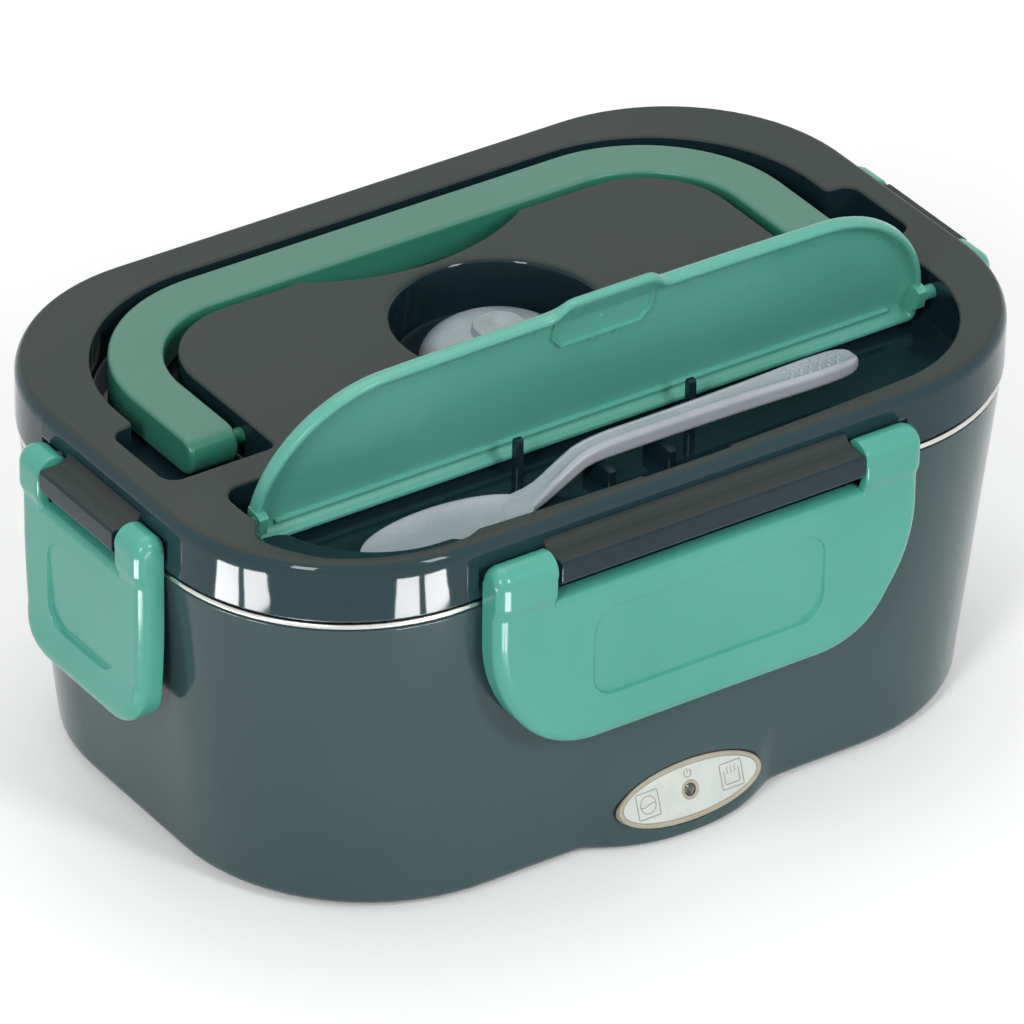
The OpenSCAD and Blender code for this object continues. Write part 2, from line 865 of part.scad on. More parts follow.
// Latch axes and the bars between the latches' ears
latch_out = 3.9;
latch_z = lid_top - 10.2;
bar_out = 8.3;
bar_up = 2.8;
bar_down = 3.4;
bar_root = 1.2;
bar_half_long = latch_half_long - 17.3;
bar_half_short = latch_half_short - 11;
ear_gap = 0.6;
ear_end = 3;
bore_depth = 4.6;

// Children placed at the four latch axes: 0 front, 1 back, 2 left, 3 right.
// In their frame x runs along the axis, y points outward, z up.
module at_latch(side) {
    out = side < 2 ? half_d + latch_out : half_l + latch_out;
    rotate([0, 0, side == 0 ? 180 : side == 1 ? 0 : side == 2 ? 90 : -90])
        translate([0, out, latch_z]) children();
}

module latch_bar(half) {
    r = 1.5;
    y0 = -latch_out - bar_root;
    y1 = bar_out - latch_out;
    translate([-half, 0, 0]) rotate([90, 0, 90]) linear_extrude(2 * half) polygon(concat(
        [[y0, -bar_down]],
        arc([y1 - r, r - bar_down], r, 270, 360, 4),
        arc([y1 - r, bar_up - r], r, 0, 90, 4),
        [[y0, bar_up + 0.6]]));
}

module latch_bores(half) {
    both_ends() along_x(latch_pin_r + pin_clearance, half - bore_depth, half + over);
}

// Hollow in the lid's side that an ear turns in
module latch_relief(half, bar) {
    both_ends() along_x(latch_knuckle + 0.4, bar, half + 0.6);
}

module lid_outside() {
    loft([
        [rim_outline(-0.6), lid_base],
        [rim_outline(0), lid_base + 0.6],
        [rim_outline(skirt_out), lid_base + 4.7],
        [rim_outline(skirt_out - 0.1), lid_top - 5],
        [rim_outline(-0.75), lid_top - 2.3],
        [rim_outline(-2.2), lid_top - 1.1],
        [rim_outline(-4), lid_top - 0.4],
        [rim_outline(-7), lid_top]]);
}

// The whole moulding: skin, bay, well, channel, bars and pegs
module lid_moulding() {
    difference() {
        union() {
            difference() {
                lid_outside();
                // underside, leaving the walls of the tubs standing
                difference() {
                    loft([
                        [rim_outline(-lid_wall - 0.6), lid_base - over],
                        [rim_outline(-lid_wall - 0.6), lid_base + 0.6],
                        [rim_outline(skirt_out - lid_wall), lid_base + 4.7],
                        [rim_outline(skirt_out - lid_wall), lid_top - 5],
                        [rim_outline(-6), inner_crown]]);
                    slab(bay_outline(tub_wall), tub_under, lid_top);
                    channel(tub_wall, channel_floor - floor_thick, lid_top);
                    translate([0, well_y, tub_under])
                        cylinder(r = well_r - well_lip + tub_wall, h = lid_top - tub_under);
                    hinge_bosses();
                }
                slab(bay_outline(0), bay_floor, lid_top + over);
                channel(0, channel_floor, lid_top + over);
                translate([0, well_y, 0]) {
                    translate([0, 0, well_floor])
                        cylinder(r = well_r - well_lip, h = lid_top + over - well_floor);
                    translate([0, 0, lid_top - well_flare])
                        cylinder(r1 = well_r - well_lip, r2 = well_r + 0.2,
                            h = well_flare + 0.2);
                }
                for (side = [0:3]) at_latch(side) latch_relief(
                    side < 2 ? latch_half_long : latch_half_short,
                    side < 2 ? bar_half_long : bar_half_short);
            }
            dip_shelf();
            pegs();
            for (side = [0:3]) at_latch(side)
                latch_bar(side < 2 ? bar_half_long : bar_half_short);
        }
        dip_cut();
        // notch for the cover's tab in the front lip
        slab(round_box(-tab_half - 1, bay_front - notch_cut, tab_half + 1, bay_front + 6,
            1.5), cover_z - 3, lid_top + over);
        // hole for the valve's stem
        translate([0, well_y, tub_under - over])
            cylinder(r = stem_r + pin_clearance, h = floor_thick + 2 * over);
        // bores of the cover, the handle and the latches
        both_ends() {
            translate([0, cover_y, cover_z])
                along_x(cover_pin_r + pin_clearance, bay_half - over, bay_half + 2.4);
            translate([0, pivot_y, handle_z])
                along_x(handle_pin_r + pin_clearance, island_half - pin_depth - 0.3,
                    island_half + over);
        }
        for (side = [0:3]) at_latch(side)
            latch_bores(side < 2 ? bar_half_long : bar_half_short);
    }
}

// The space of the bay with its walls
module bay_room() {
    slab(bay_outline(tub_wall), tub_under - over, lid_top + over);
}

// The space of the well with its wall
module well_room() {
    translate([0, well_y, tub_under - over])
        cylinder(r = well_r - well_lip + tub_wall, h = lid_top - tub_under + 2 * over);
}

module lid_shell() {
    color(dark) difference() {
        lid_moulding();
        bay_room();
        well_room();
    }
}

module lid_bay() {
    color(dark) intersection() {
        lid_moulding();
        bay_room();
    }
}

module lid_well() {
    color(dark) intersection() {
        lid_moulding();
        well_room();
    }
}

// Bosses behind the walls at the cover's and the handle's bores
module hinge_bosses() {
    both_ends() {
        translate([0, cover_y, cover_z]) along_x(4, bay_half, bay_half + 4);
        translate([0, pivot_y, handle_z])
            along_x(4.4, island_half - pin_depth - 2, island_half - 0.5);
    }
}

// ---- inner lid and gasket ----

inner_plate = 1.6;
inner_low = casing_top - 3;
inner_edge = -pot_flange - 2.3;
gasket_out = -pot_flange - 1.3;
gasket_in = -pot_flange - 5.4;
gasket_tall = 2.4;
steam_hole_r = 1.5;
steam_ring_r = 7;

module lid_inner() {
    color(pale) difference() {
        union() {
            slab(rim_outline(inner_edge), inner_low, inner_low + inner_plate);
            difference() {
                slab(rim_outline(gasket_in), inner_low, tub_under);
                slab(rim_outline(gasket_in - 1.6), inner_low, tub_under + over);
            }
        }
        // steam holes under the valve
        for (a = [0:60:300]) translate([0, well_y, inner_low - over]) rotate(a)
            translate([steam_ring_r, 0, 0])
                cylinder(r = steam_hole_r, h = inner_plate + 2 * over);
    }
}

module lid_gasket() {
    z0 = inner_low + inner_plate;
    color(milky) difference() {
        loft([
            [rim_outline(gasket_out - 0.6), z0],
            [rim_outline(gasket_out), z0 + gasket_tall * 0.4],
            [rim_outline(gasket_out - 0.6), z0 + gasket_tall]]);
        slab(rim_outline(gasket_in), z0 - over, z0 + gasket_tall + over);
    }
}

// ---- steam valve ----

module vent_valve() {
    z0 = well_floor + gap;
    tall = lid_top - 2.3 - z0;
    color(milky) translate([0, well_y, z0]) {
        // dome with a raised disc on top
        rotate_extrude() polygon([
            [0, 0],
            [dome_r, 0],
            [dome_r, 1.4],
            [dome_r - 0.6, 4],
            [dome_r - 1.6, 6],
            [dome_r - 3.6, 7.4],
            [dome_r * 0.6, tall - 2.6],
            [6.6, tall - 1.8],
            [6.2, tall - 0.6],
            [5.4, tall],
            [0, tall]]);
        translate([0, 0, -gap - floor_thick - 1]) cylinder(r = stem_r, h = gap + floor_thick + 2);
    }
}

// ---- carrying handle ----

// Outside of the arch grown by g, and the opening that the arch goes round
function handle_out(g) = arch(handle_half + g, handle_back + g, handle_corner + g, pivot_y);
function handle_in(g) = arch(handle_half - handle_width - g, handle_back - handle_width - g,
    handle_corner - handle_width - g, pivot_y - over);

module carry_handle() {
    t = handle_thick / 2;
    soft = 1.2;
    color(green) translate([0, 0, handle_z]) {
        difference() {
            loft([
                [handle_out(-soft), -t],
                [handle_out(0), soft - t],
                [handle_out(0), t - soft],
                [handle_out(-soft), t]]);
            loft([
                [handle_in(-soft - over), -t - over],
                [handle_in(0), soft - t],
                [handle_in(0), t - soft],
                [handle_in(-soft - over), t + over]]);
        }
        both_ends() translate([0, pivot_y, 0]) {
            along_x(t - soft, handle_half - handle_width, handle_half);
            along_x(t, handle_half - handle_width + soft, handle_half - soft);
            along_x(handle_pin_r, island_half - pin_depth, handle_half - handle_width + soft);
        }
    }
}

// ---- utensil cover ----

cover_half = bay_half - 3.2;
cover_v_back = 8.4;
cover_v_front = 33.4;
cover_r = bay_corner - 2.7;
tab_tip = 36.8;
// Lugs on the cover's ends: thickness and width
lug = [2.4, 6];

function cover_outline(g) = d_outline(cover_half, cover_v_back, -cover_v_front, cover_r,
    2.5, 0.6, g);

module utensil_cover() {
    w = cover_wall;
    color(green) translate([0, cover_y, cover_z]) rotate([-cover_open, 0, 0]) difference() {
        union() {
            loft([
                [cover_outline(0), 0],
                [cover_outline(0), cover_dish * 0.5],
                [cover_outline(-1.2), cover_dish * 0.84],
                [cover_outline(-3.6), cover_dish]]);
            slab(concat(
                arc([tab_half - tab_r, tab_r - tab_tip], tab_r, 270, 360, 4),
                [[tab_root, -cover_v_front + 1], [-tab_root, -cover_v_front + 1]],
                arc([tab_r - tab_half, tab_r - tab_tip], tab_r, 180, 270, 4)), 0, 2);
            both_ends() {
                along_x(cover_pin_r, cover_half - 3, bay_half + 2);
                translate([cover_half - lug[0], -lug[1] / 2, -cover_pin_r])
                    cube([lug[0], lug[1], cover_pin_r + 1]);
            }
        }
        difference() {
            loft([
                [cover_outline(-w), -over],
                [cover_outline(-w), cover_dish * 0.24],
                [cover_outline(-w - 2.8), cover_dish * 0.56],
                [cover_outline(-w - 9), cover_dish - w]]);
            // lugs that carry the pins, and the pad behind the tab
            both_ends() translate([cover_half - 3, -lug[1] / 2, -cover_pin_r - over])
                cube([4, lug[1], cover_dish + over]);
            slab(round_box(-14, -31, 14, -20, 1.5), cover_dish - w - 0.9, cover_dish);
        }
    }
}

// ---- spoon ----

spoon_low = rest_top + gap;
bar_tall = 5;
bowl_a = 23.5;
bowl_b = 10;
bowl_low = bay_floor + gap;
bowl_tall = 2.6;
grip_half = 4.3;
dot_r = 0.7;
dot_pitch = 3;
grip_x = spoon_length - 79;
bowl_x = grip_x - spoon_length + bowl_a + 2;
bowl_y = spoon_y - 4.2;

function ellipse(a, b, n = 36) =
    [for (i = [0:n - 1]) [a * cos(360 * i / n), b * sin(360 * i / n)]];

module spoon() {
    color(pale) {
        difference() {
            translate([bowl_x, bowl_y, bowl_low]) loft([
                [ellipse(bowl_a * 0.5, bowl_b * 0.5), 0],
                [ellipse(bowl_a * 0.85, bowl_b * 0.85), bowl_tall * 0.45],
                [ellipse(bowl_a, bowl_b), bowl_tall]]);
            translate([bowl_x, bowl_y, bowl_low]) loft([
                [ellipse(bowl_a * 0.42, bowl_b * 0.42), 0.9],
                [ellipse(bowl_a * 0.82, bowl_b * 0.8), bowl_tall * 0.65],
                [ellipse(bowl_a * 0.94, bowl_b * 0.88), bowl_tall],
                [ellipse(bowl_a * 0.94, bowl_b * 0.88), bowl_tall + over]]);
        }
        // neck: rises from the bowl to the handle
        translate([0, spoon_y - spoon_width / 2, 0]) rotate([90, 0, 0]) mirror([0, 0, 1])
            linear_extrude(spoon_width) polygon([
                [bowl_x + bowl_a - 1.4, bowl_low + 0.6],
                [-24, bowl_low + 1],
                [-10, spoon_low],
                [grip_x - 4, spoon_low],
                [grip_x - 4, spoon_low + bar_tall],
                [-9, spoon_low + bar_tall],
                [-23, bowl_low + 5],
                [bowl_x + bowl_a - 1.4, bowl_low + bowl_tall]]);
        // paddle end with a dotted grip
        slab(round_box(grip_x - 17, spoon_y - grip_half, grip_x, spoon_y + grip_half, 4),
            spoon_low + 0.6, spoon_low + bar_tall - 0.4);
        for (i = [0:3]) for (j = [-1, 1])
            translate([grip_x - 13.4 + i * dot_pitch, spoon_y + j * dot_pitch / 2,
                spoon_low + bar_tall - 0.5])
                cylinder(r = dot_r, h = 0.5);
    }
}

// ---- latches ----

// Front view of a latch's right side, hanging from its axis, grown by g: a
// large arc that runs into a small one. The curve takes up these shares of the
// half width and of the drop.
curve_x = 0.476;
curve_z = 0.68;
tip_share = 0.9;

function latch_side(half, g) = let (
        dx = half * curve_x,
        dz = latch_drop * curve_z,
        r2 = dx * tip_share,
        r1 = (dx * dx + dz * dz - 2 * dz * r2) / (2 * (dx - r2)),
        turn = -atan((dz - r2) / (r1 - dx)))
    concat(
        arc([half - dx, r2 - latch_drop], r2 + g, 270, 360 + turn, 6),
        inner_arc([half - r1, dz - latch_drop], r1 + g, 360 + turn, 360, 6),
        [[half + g, dz - latch_drop]]);

function latch_outline(half, g, top) = let (side = latch_side(half, g), n = len(side))
    concat(side, [[half + g, top], [-half - g, top]],
        [for (i = [n - 1:-1:0]) [-side[i][0], side[i][1]]]);

// Inner edge of the latch's flange, measured from the axis toward the casing
flange_in = latch_out - catch_out - gap;
hook_tall = 2.2;
hook_gap = 0.3;
window_low = 10.2;
panel_low = latch_drop - 10.8;
panel_top = 14.8;
panel_sink = 0.6;
panel_share = 0.55;

module latch(half, bar, catch_half) {
    face = latch_knuckle;
    color(green) {
        difference() {
            rotate([90, 0, 0]) loft([
                [latch_outline(half, -3, 0), -face],
                [latch_outline(half, -1.4, 0), 0.4 - face],
                [latch_outline(half, -0.4, 0), 1.5 - face],
                [latch_outline(half, 0, 0), 3 - face],
                [latch_outline(half, 0, 0), flange_in]]);
            // hollow back
            rotate([90, 0, 0]) translate([0, 0, latch_wall - face]) linear_extrude(20)
                polygon(latch_outline(half, -latch_wall, -latch_knuckle));
            // window between the ears
            translate([-bar - ear_gap, -10, -window_low])
                cube([2 * (bar + ear_gap), 20, 20]);
            // sunk panel on the outer face
            rotate([90, 0, 0]) slab(round_box(-half * panel_share, -panel_low,
                half * panel_share, -panel_top, 6), -face - over, panel_sink - face);
        }
        both_ends() {
            along_x(latch_knuckle, bar + ear_gap, half - ear_end);
            along_x(latch_knuckle - 0.7, half - ear_end, half - ear_end * 0.4);
            along_x(latch_knuckle - 2, half - ear_end * 0.4, half);
            along_x(latch_pin_r, bar - bore_depth + 0.4, bar + ear_gap + over);
        }
        // hook under the catch bar of the casing
        translate([-catch_half, gap + catch_out - latch_out,
            catch_top - catch_thick - hook_gap - hook_tall - latch_z])
            cube([2 * catch_half, face - latch_wall + flange_in + 0.2, hook_tall]);
    }
}

module latch_front() {
    at_latch(0) latch(latch_half_long, bar_half_long, catch_half_long - 4);
}

module latch_back() {
    at_latch(1) latch(latch_half_long, bar_half_long, catch_half_long - 4);
}

module latch_left() {
    at_latch(2) latch(latch_half_short, bar_half_short, catch_half_short - 2);
}

module latch_right() {
    at_latch(3) latch(latch_half_short, bar_half_short, catch_half_short - 2);
}

outer_shell();
inner_liner();
base_cover();
feet();
base_screws();
heating_plate();
ptc_heater();
heater_clip();
clip_screws();
thermostat();
thermal_fuse();
mains_inlet();
mains_pins();
car_inlet();
car_pin();
heater_leads();
lamp_leads();
lamp_board();
status_lamp();
badge_frame();
badge_panel();
lamp_lens();
steel_pot();
lid_shell();
lid_bay();
lid_well();
lid_inner();
lid_gasket();
vent_valve();
carry_handle();
utensil_cover();
spoon();
latch_front();
latch_back();
latch_left();
latch_right();
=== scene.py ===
from math import atan, copysign, cos, degrees, hypot, radians, sin, sqrt, tan

import bmesh
import bpy
from mathutils import Matrix, Vector


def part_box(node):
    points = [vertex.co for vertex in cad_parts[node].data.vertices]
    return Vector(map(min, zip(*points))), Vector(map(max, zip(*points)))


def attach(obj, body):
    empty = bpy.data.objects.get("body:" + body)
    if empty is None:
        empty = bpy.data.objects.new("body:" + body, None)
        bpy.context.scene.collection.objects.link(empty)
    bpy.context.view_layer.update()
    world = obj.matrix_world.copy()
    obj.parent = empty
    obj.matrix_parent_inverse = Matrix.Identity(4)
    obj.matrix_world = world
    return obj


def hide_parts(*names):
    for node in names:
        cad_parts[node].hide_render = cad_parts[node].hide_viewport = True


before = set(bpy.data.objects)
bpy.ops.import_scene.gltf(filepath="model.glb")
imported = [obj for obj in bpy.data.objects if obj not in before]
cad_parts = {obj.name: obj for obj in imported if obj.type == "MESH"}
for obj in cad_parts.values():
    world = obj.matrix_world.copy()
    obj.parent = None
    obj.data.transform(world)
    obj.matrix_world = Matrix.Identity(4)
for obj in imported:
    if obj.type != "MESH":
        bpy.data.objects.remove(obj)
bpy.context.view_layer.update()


def add_object(name, data):
    made = bpy.data.objects.new(name, data)
    bpy.context.collection.objects.link(made)
    return made


# ---- Where it is seen from ----
# The lunch box stands on a pale studio table. It is seen from the front left and from above,
# through a long lens about two metres off, so that its edges stay nearly parallel.

view_turn = radians(34.54)
view_drop = radians(32.26)
view_roll = radians(0.9)
view_distance = 2.314
view_target = Vector((0.00073, 0.00051, 0.04873))

look = Vector((sin(view_turn) * cos(view_drop),
               cos(view_turn) * cos(view_drop), -sin(view_drop)))
camera_data = bpy.data.cameras.new("camera")
camera_data.sensor_width = 36
camera_data.lens = 336.25
camera_data.clip_end = 20
camera = add_object("camera", camera_data)
camera.matrix_world = (Matrix.Translation(view_target - look * view_distance)
                       @ look.to_track_quat("-Z", "Y").to_matrix().to_4x4()
                       @ Matrix.Rotation(view_roll, 4, "Z"))
bpy.context.scene.camera = camera
bpy.context.scene.view_settings.view_transform = "Standard"


def worked(operation, other_first=False):
    """A Python operator that adds a Math node."""
    def add_node(self, other):
        return self.math(operation, *((other, self) if other_first else (self, other)))
    return add_node


class Value:
    """One output of a material's nodes, which adds Math nodes as Python works on it."""

    def __init__(self, finish, socket):
        self.finish = finish
        self.socket = socket

    def math(self, operation, *values):
        return self.finish.add("ShaderNodeMath", {"operation": operation},
                               dict(enumerate(values)))

    __add__ = __radd__ = worked("ADD")
    __mul__ = __rmul__ = worked("MULTIPLY")
    __sub__ = worked("SUBTRACT")
    __rsub__ = worked("SUBTRACT", True)
    __truediv__ = worked("DIVIDE")

    def __abs__(self):
        return self.math("ABSOLUTE", self)

    def ramp(self, low, high, start=0, end=1):
        """start where the value is low, end where it is high, smooth in between."""
        settings = {"interpolation_type": "SMOOTHSTEP"}
        return self.finish.add("ShaderNodeMapRange", settings,
                               {0: self, 1: low, 2: high, 3: start, 4: end})


class Finish:
    """One material: constants go on its shader, and add() makes any node."""

    def __init__(self, name, sheen=0.5, **constants):
        self.material = bpy.data.materials.new(name)
        self.material.use_nodes = True
        self.tree = self.material.node_tree
        self.shader = self.tree.nodes["Principled BSDF"]
        self.put("Specular IOR Level", sheen)
        for socket, value in constants.items():
            self.put(socket.replace("_", " "), value)
        self.place = self.add("ShaderNodeTexCoord", {}, {}, "Object")

    def add(self, kind, settings, inputs, output=0):
        node = self.tree.nodes.new(kind)
        for name, value in settings.items():
            setattr(node, name, value)
        for name, value in inputs.items():
            self.join(node.inputs[name], value)
        return Value(self, node.outputs[output])

    def join(self, socket, value):
        if isinstance(value, Value):
            self.tree.links.new(value.socket, socket)
        elif socket.type == "RGBA" and len(value) == 3:
            socket.default_value = (*value, 1)
        else:
            socket.default_value = value

    def put(self, socket, value):
        self.join(self.shader.inputs[socket], value)

    def noise(self, scale, detail=2):
        inputs = {"Vector": self.place, "Scale": scale, "Detail": detail}
        return self.add("ShaderNodeTexNoise", {}, inputs, "Fac")

    def drift(self, scale, start=0, end=1, detail=3):
        """Noise that drifts from start to end and stays a while at each."""
        return self.noise(scale, detail).ramp(0.3, 0.7, start, end)

    def streaks(self, scale, stretch):
        """Noise drawn out along an axis, as a brush or the flow in a mould leaves it."""
        drawn = self.add("ShaderNodeMapping", {}, {"Vector": self.place, "Scale": stretch})
        return self.add("ShaderNodeTexNoise", {}, {"Vector": drawn, "Scale": scale}, "Fac")

    def blend(self, mask, one, two):
        settings = {"data_type": "RGBA"}
        return self.add("ShaderNodeMix", settings, {0: mask, 6: one, 7: two}, 2)

    def axis(self, letter):
        return self.add("ShaderNodeSeparateXYZ", {}, {0: self.place}, letter)

    def tone(self, mask, one, two):
        """A colour that drifts between two screen colours."""
        return self.blend(mask, srgb(*one), srgb(*two))

    def stain(self, mask, one, two):
        self.put("Base Color", self.tone(mask, one, two))

    def bump(self, height, distance, strength=1):
        inputs = {"Height": height, "Distance": distance, "Strength": strength}
        self.put("Normal", self.add("ShaderNodeBump", {}, inputs))


def srgb(red, green, blue):
    """A colour written as on screen, 0 to 255, as the linear value that shaders take."""
    return tuple(((c / 255 + 0.055) / 1.055) ** 2.4 if c > 10 else c / 3294.6
                 for c in (red, green, blue))


def mottled(name, scale, detail, one, two, rough=None, grain=None, ends=(0.3, 0.7), **constants):
    """A finish whose colour and roughness drift together, with or without a fine grain.

    The grain is a bump's scale, distance and strength. The ends are the noise's values at
    which each colour is reached.
    """
    made = Finish(name, **constants)
    drift = made.noise(scale, detail).ramp(*ends)
    made.stain(drift, one, two)
    if rough:
        made.put("Roughness", drift.ramp(0, 1, *rough))
    if grain:
        scale, distance, strength = grain
        made.bump(made.noise(scale), distance, strength)
    return made


def gloss_and_satin(finish, satin, gloss, drift, tones, rough):
    """Lays a grained satin of two tones on a gloss, where the mask is 1."""
    grain = finish.noise(1500)
    finish.put("Base Color", finish.blend(satin, gloss, finish.tone(drift, *tones)))
    finish.put("Roughness", rough + satin * (0.42 + 0.1 * grain))
    finish.bump(satin * grain, 0.00003, 0.5)


def seen_directly(tree):
    """1 for rays from the lens and for those of reflections, 0 for the light on the box."""
    rays = tree.nodes.new("ShaderNodeLightPath")
    seen = rays.outputs["Is Camera Ray"]
    for ray in ("Is Glossy Ray", "Is Transmission Ray"):
        either = tree.nodes.new("ShaderNodeMath")
        either.operation = "MAXIMUM"
        tree.links.new(seen, either.inputs[0])
        tree.links.new(rays.outputs[ray], either.inputs[1])
        seen = either.outputs[0]
    return seen


# ---- Table and light ----
# A white sweep of card under and behind the box, lit by two tall softboxes and the white
# room. The card is white to the lens and in reflections, and keeps the box's soft shadow.

card = Finish("white_card", Roughness=0.9, sheen=0.1)
card_seen = Value(card, seen_directly(card.tree))
card.put("Base Color", card.blend(card_seen, srgb(226, 226, 224), (1, 1, 1)))
card.put("Emission Color", card.blend(card_seen, (0, 0, 0), (0.16, 0.16, 0.16)))
card.put("Emission Strength", 1)

floor_mesh = bmesh.new()
bmesh.ops.create_grid(floor_mesh, x_segments=1, y_segments=1, size=6)
floor_data = bpy.data.meshes.new("table_card")
floor_mesh.to_mesh(floor_data)
floor_mesh.free()
floor_data.materials.append(card.material)
add_object("table_card", floor_data)

world = bpy.data.worlds.new("white_room")
world.use_nodes = True
bpy.context.scene.world = world
room = world.node_tree
room_light = room.nodes["Background"]
room_light.inputs["Strength"].default_value = 0.42
room_light.inputs["Color"].default_value = (1, 1, 1, 1)
room_white = room.nodes.new("ShaderNodeBackground")
room_white.inputs["Color"].default_value = (1, 1, 1, 1)
room_mix = room.nodes.new("ShaderNodeMixShader")
room.links.new(seen_directly(room), room_mix.inputs[0])
room.links.new(room_light.outputs[0], room_mix.inputs[1])
room.links.new(room_white.outputs[0], room_mix.inputs[2])
room.links.new(room_mix.outputs[0], room.nodes["World Output"].inputs[0])


box_middle = (0, 0, 0.05)


def softbox(name, place, wide, tall, power, aim=box_middle):
    data = bpy.data.lights.new(name, "AREA")
    data.shape = "RECTANGLE"
    data.size = wide
    data.size_y = tall
    data.energy = power
    lamp = add_object(name, data)
    turn = (Vector(aim) - Vector(place)).to_track_quat("-Z", "Y").to_matrix().to_4x4()
    lamp.matrix_world = Matrix.Translation(place) @ turn
    return lamp


softbox("softbox_left", (-1.9, -1.3, 1.5), 0.5, 0.9, 24)
softbox("softbox_right", (0.6, -2.3, 1.6), 0.5, 0.9, 22)
softbox("softbox_top", (0.2, 0.6, 2.2), 1.6, 1.6, 13)

# two low strip lamps of two panes each, seen only as reflections in the lid's glossy side
for name, x, y, wide, tall in (("strip_left_a", -0.249, -0.073, 0.03, 0.04),
                               ("strip_left_b", -0.249, -0.023, 0.03, 0.04),
                               ("strip_front_a", -0.078, -0.214, 0.037, 0.03),
                               ("strip_front_b", -0.031, -0.212, 0.037, 0.03)):
    strip = softbox(name, (x, y, 0.002), wide, tall, 0.12, aim=(x, y, 1))
    strip.visible_camera = False
    strip.visible_diffuse = False


# ---- Casing ----
# One injection-moulded shell of dark glossy plastic, tapered so that it leaves its mould,
# with a chin at the front for the badge and a catch bar under each latch.

mm = 0.001
half_l, half_d = Vector(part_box("steel_pot")[1]).xy / mm
casing_low, casing_top = ((Vector(corner) / mm).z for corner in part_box("outer_shell"))
rim_corner = 50
bead_out = 0.3
casing_wall = 2.2
taper_ends = 7.6
taper_sides = 3.1
corner_steps = 20


def corners(*points):
    """A line drawn from corner to corner."""
    return [Vector(p) for p in points]


def mirrored(points):
    """The same flat line on the other side, drawn from its end to its start."""
    return [Vector((-p[0], p[1])) for p in reversed(points)]


def arc(cx, cy, r, start, end, steps=corner_steps):
    """Points on a circle's arc, with angles in degrees."""
    turns = [radians(start + (end - start) * i / steps) for i in range(steps + 1)]
    return [Vector((cx + r * cos(t), cy + r * sin(t))) for t in turns]


def ellipse(cx, cy, a, b, steps):
    turns = [radians(360 * i / steps) for i in range(steps)]
    return [Vector((cx + a * cos(t), cy + b * sin(t))) for t in turns]


def quarters(hx, hy, r, steps=corner_steps):
    """A rounded rectangle's corners, counter-clockwise from the back end of its right edge."""
    return [arc(x * (hx - r), y * (hy - r), r, 90 * i, 90 * i + 90, steps)
            for i, (x, y) in enumerate(((1, 1), (-1, 1), (-1, -1), (1, -1)))]


def rounded_box(hx, hy, r, steps=corner_steps):
    return sum(quarters(hx, hy, r, steps), [])


def ring(bm, points, height=None):
    """A closed loop of edges through points; flat points take a height."""
    spots = [(p[0], p[1], p[2] if height is None else height) for p in points]
    verts = [bm.verts.new(p) for p in spots]
    return [bm.edges.new((a, b)) for a, b in zip(verts, verts[1:] + verts[:1])]


def skin(bm, loops, closed=False):
    """Extrudes each loop of edges onto the next one; piece() welds them together."""
    following = loops[1:] + (loops[:1] if closed else [])
    for one, other in zip(loops, following):
        made = set(bmesh.ops.extrude_edge_only(bm, edges=one)["geom"])
        for edge, target in zip(one, other):
            start = edge.verts[0]
            drawn = next(e.other_vert(start) for e in start.link_edges
                         if e.other_vert(start) in made)
            drawn.co = target.verts[0].co
    return loops


def loft(bm, outline, lines):
    """Skins the outlines that a function draws from lines of numbers."""
    return skin(bm, [ring(bm, outline(*line)) for line in lines])


def cap(bm, *loops):
    for loop in loops:
        bmesh.ops.contextual_create(bm, geom=loop)


def fill(bm, edges):
    """Fills a flat face that has an outline and holes."""
    bmesh.ops.triangle_fill(bm, use_beauty=True, use_dissolve=False, edges=edges)


def soft_max(a, b, blend):
    return (a + b + sqrt((a - b) ** 2 + blend ** 2)) / 2


def soft_min(a, b, blend):
    return -soft_max(-a, -b, blend)


def piece(name, bm, finish, body, stands_for=(), crease=38, place=None):
    """Turns a finished bmesh in millimetres into an object that rides on a body."""
    bmesh.ops.remove_doubles(bm, verts=bm.verts, dist=0.0005)
    bmesh.ops.recalc_face_normals(bm, faces=bm.faces)
    if place is not None:
        bmesh.ops.transform(bm, matrix=place, verts=bm.verts)
    bmesh.ops.scale(bm, vec=(mm, mm, mm), verts=bm.verts)
    data = bpy.data.meshes.new(name)
    bm.to_mesh(data)
    bm.free()
    data.shade_smooth()
    data.set_sharp_from_angle(angle=radians(crease))
    data.materials.append(finish.material)
    made = add_object(name, data)
    weigh = made.modifiers.new("face_weights", "WEIGHTED_NORMAL")
    weigh.keep_sharp = True
    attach(made, body)
    if stands_for:
        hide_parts(*stands_for)


chin_half = 26
chin_reach = 8.4
chin_top = 40
foot_round = 3
badge_a = 20.6
badge_b = 7.4
badge_z = 12
badge_rise = 6.93
badge_tilt = radians(20.5)
front_xs = [-58, -46, -40, -36, *range(-33, 34), 36, 40, 46, 58]


def taper(z):
    """How much of the casing's taper there is at a height: 0 at its top, 1 at its foot."""
    return (casing_top - z) / (casing_top - casing_low)


def front_depth(z):
    """How far the casing's front wall lies from the middle at a height."""
    return half_d - bead_out - taper_sides * taper(z)


def chin_at(x, z, inset):
    """How far the front stands out from the plain wall: the chin, or minus the inset."""
    plan = chin_reach * (1 - (abs(x) / chin_half) ** 2.2) - 0.5 * inset
    rise = z - casing_low
    face = chin_reach - rise * (tan(badge_tilt) + taper_sides / (casing_top - casing_low))
    out = soft_max(-inset, soft_min(plan, face + 0.35, 2.2) if plan > -30 else -30, 1.6)
    # flat seat under the badge, with a short slope round it
    badge_edge = hypot(x / badge_a, (z - badge_z) / badge_rise)
    return min(out, face + 0.1 + 9 * max(badge_edge - 1.01, 0))


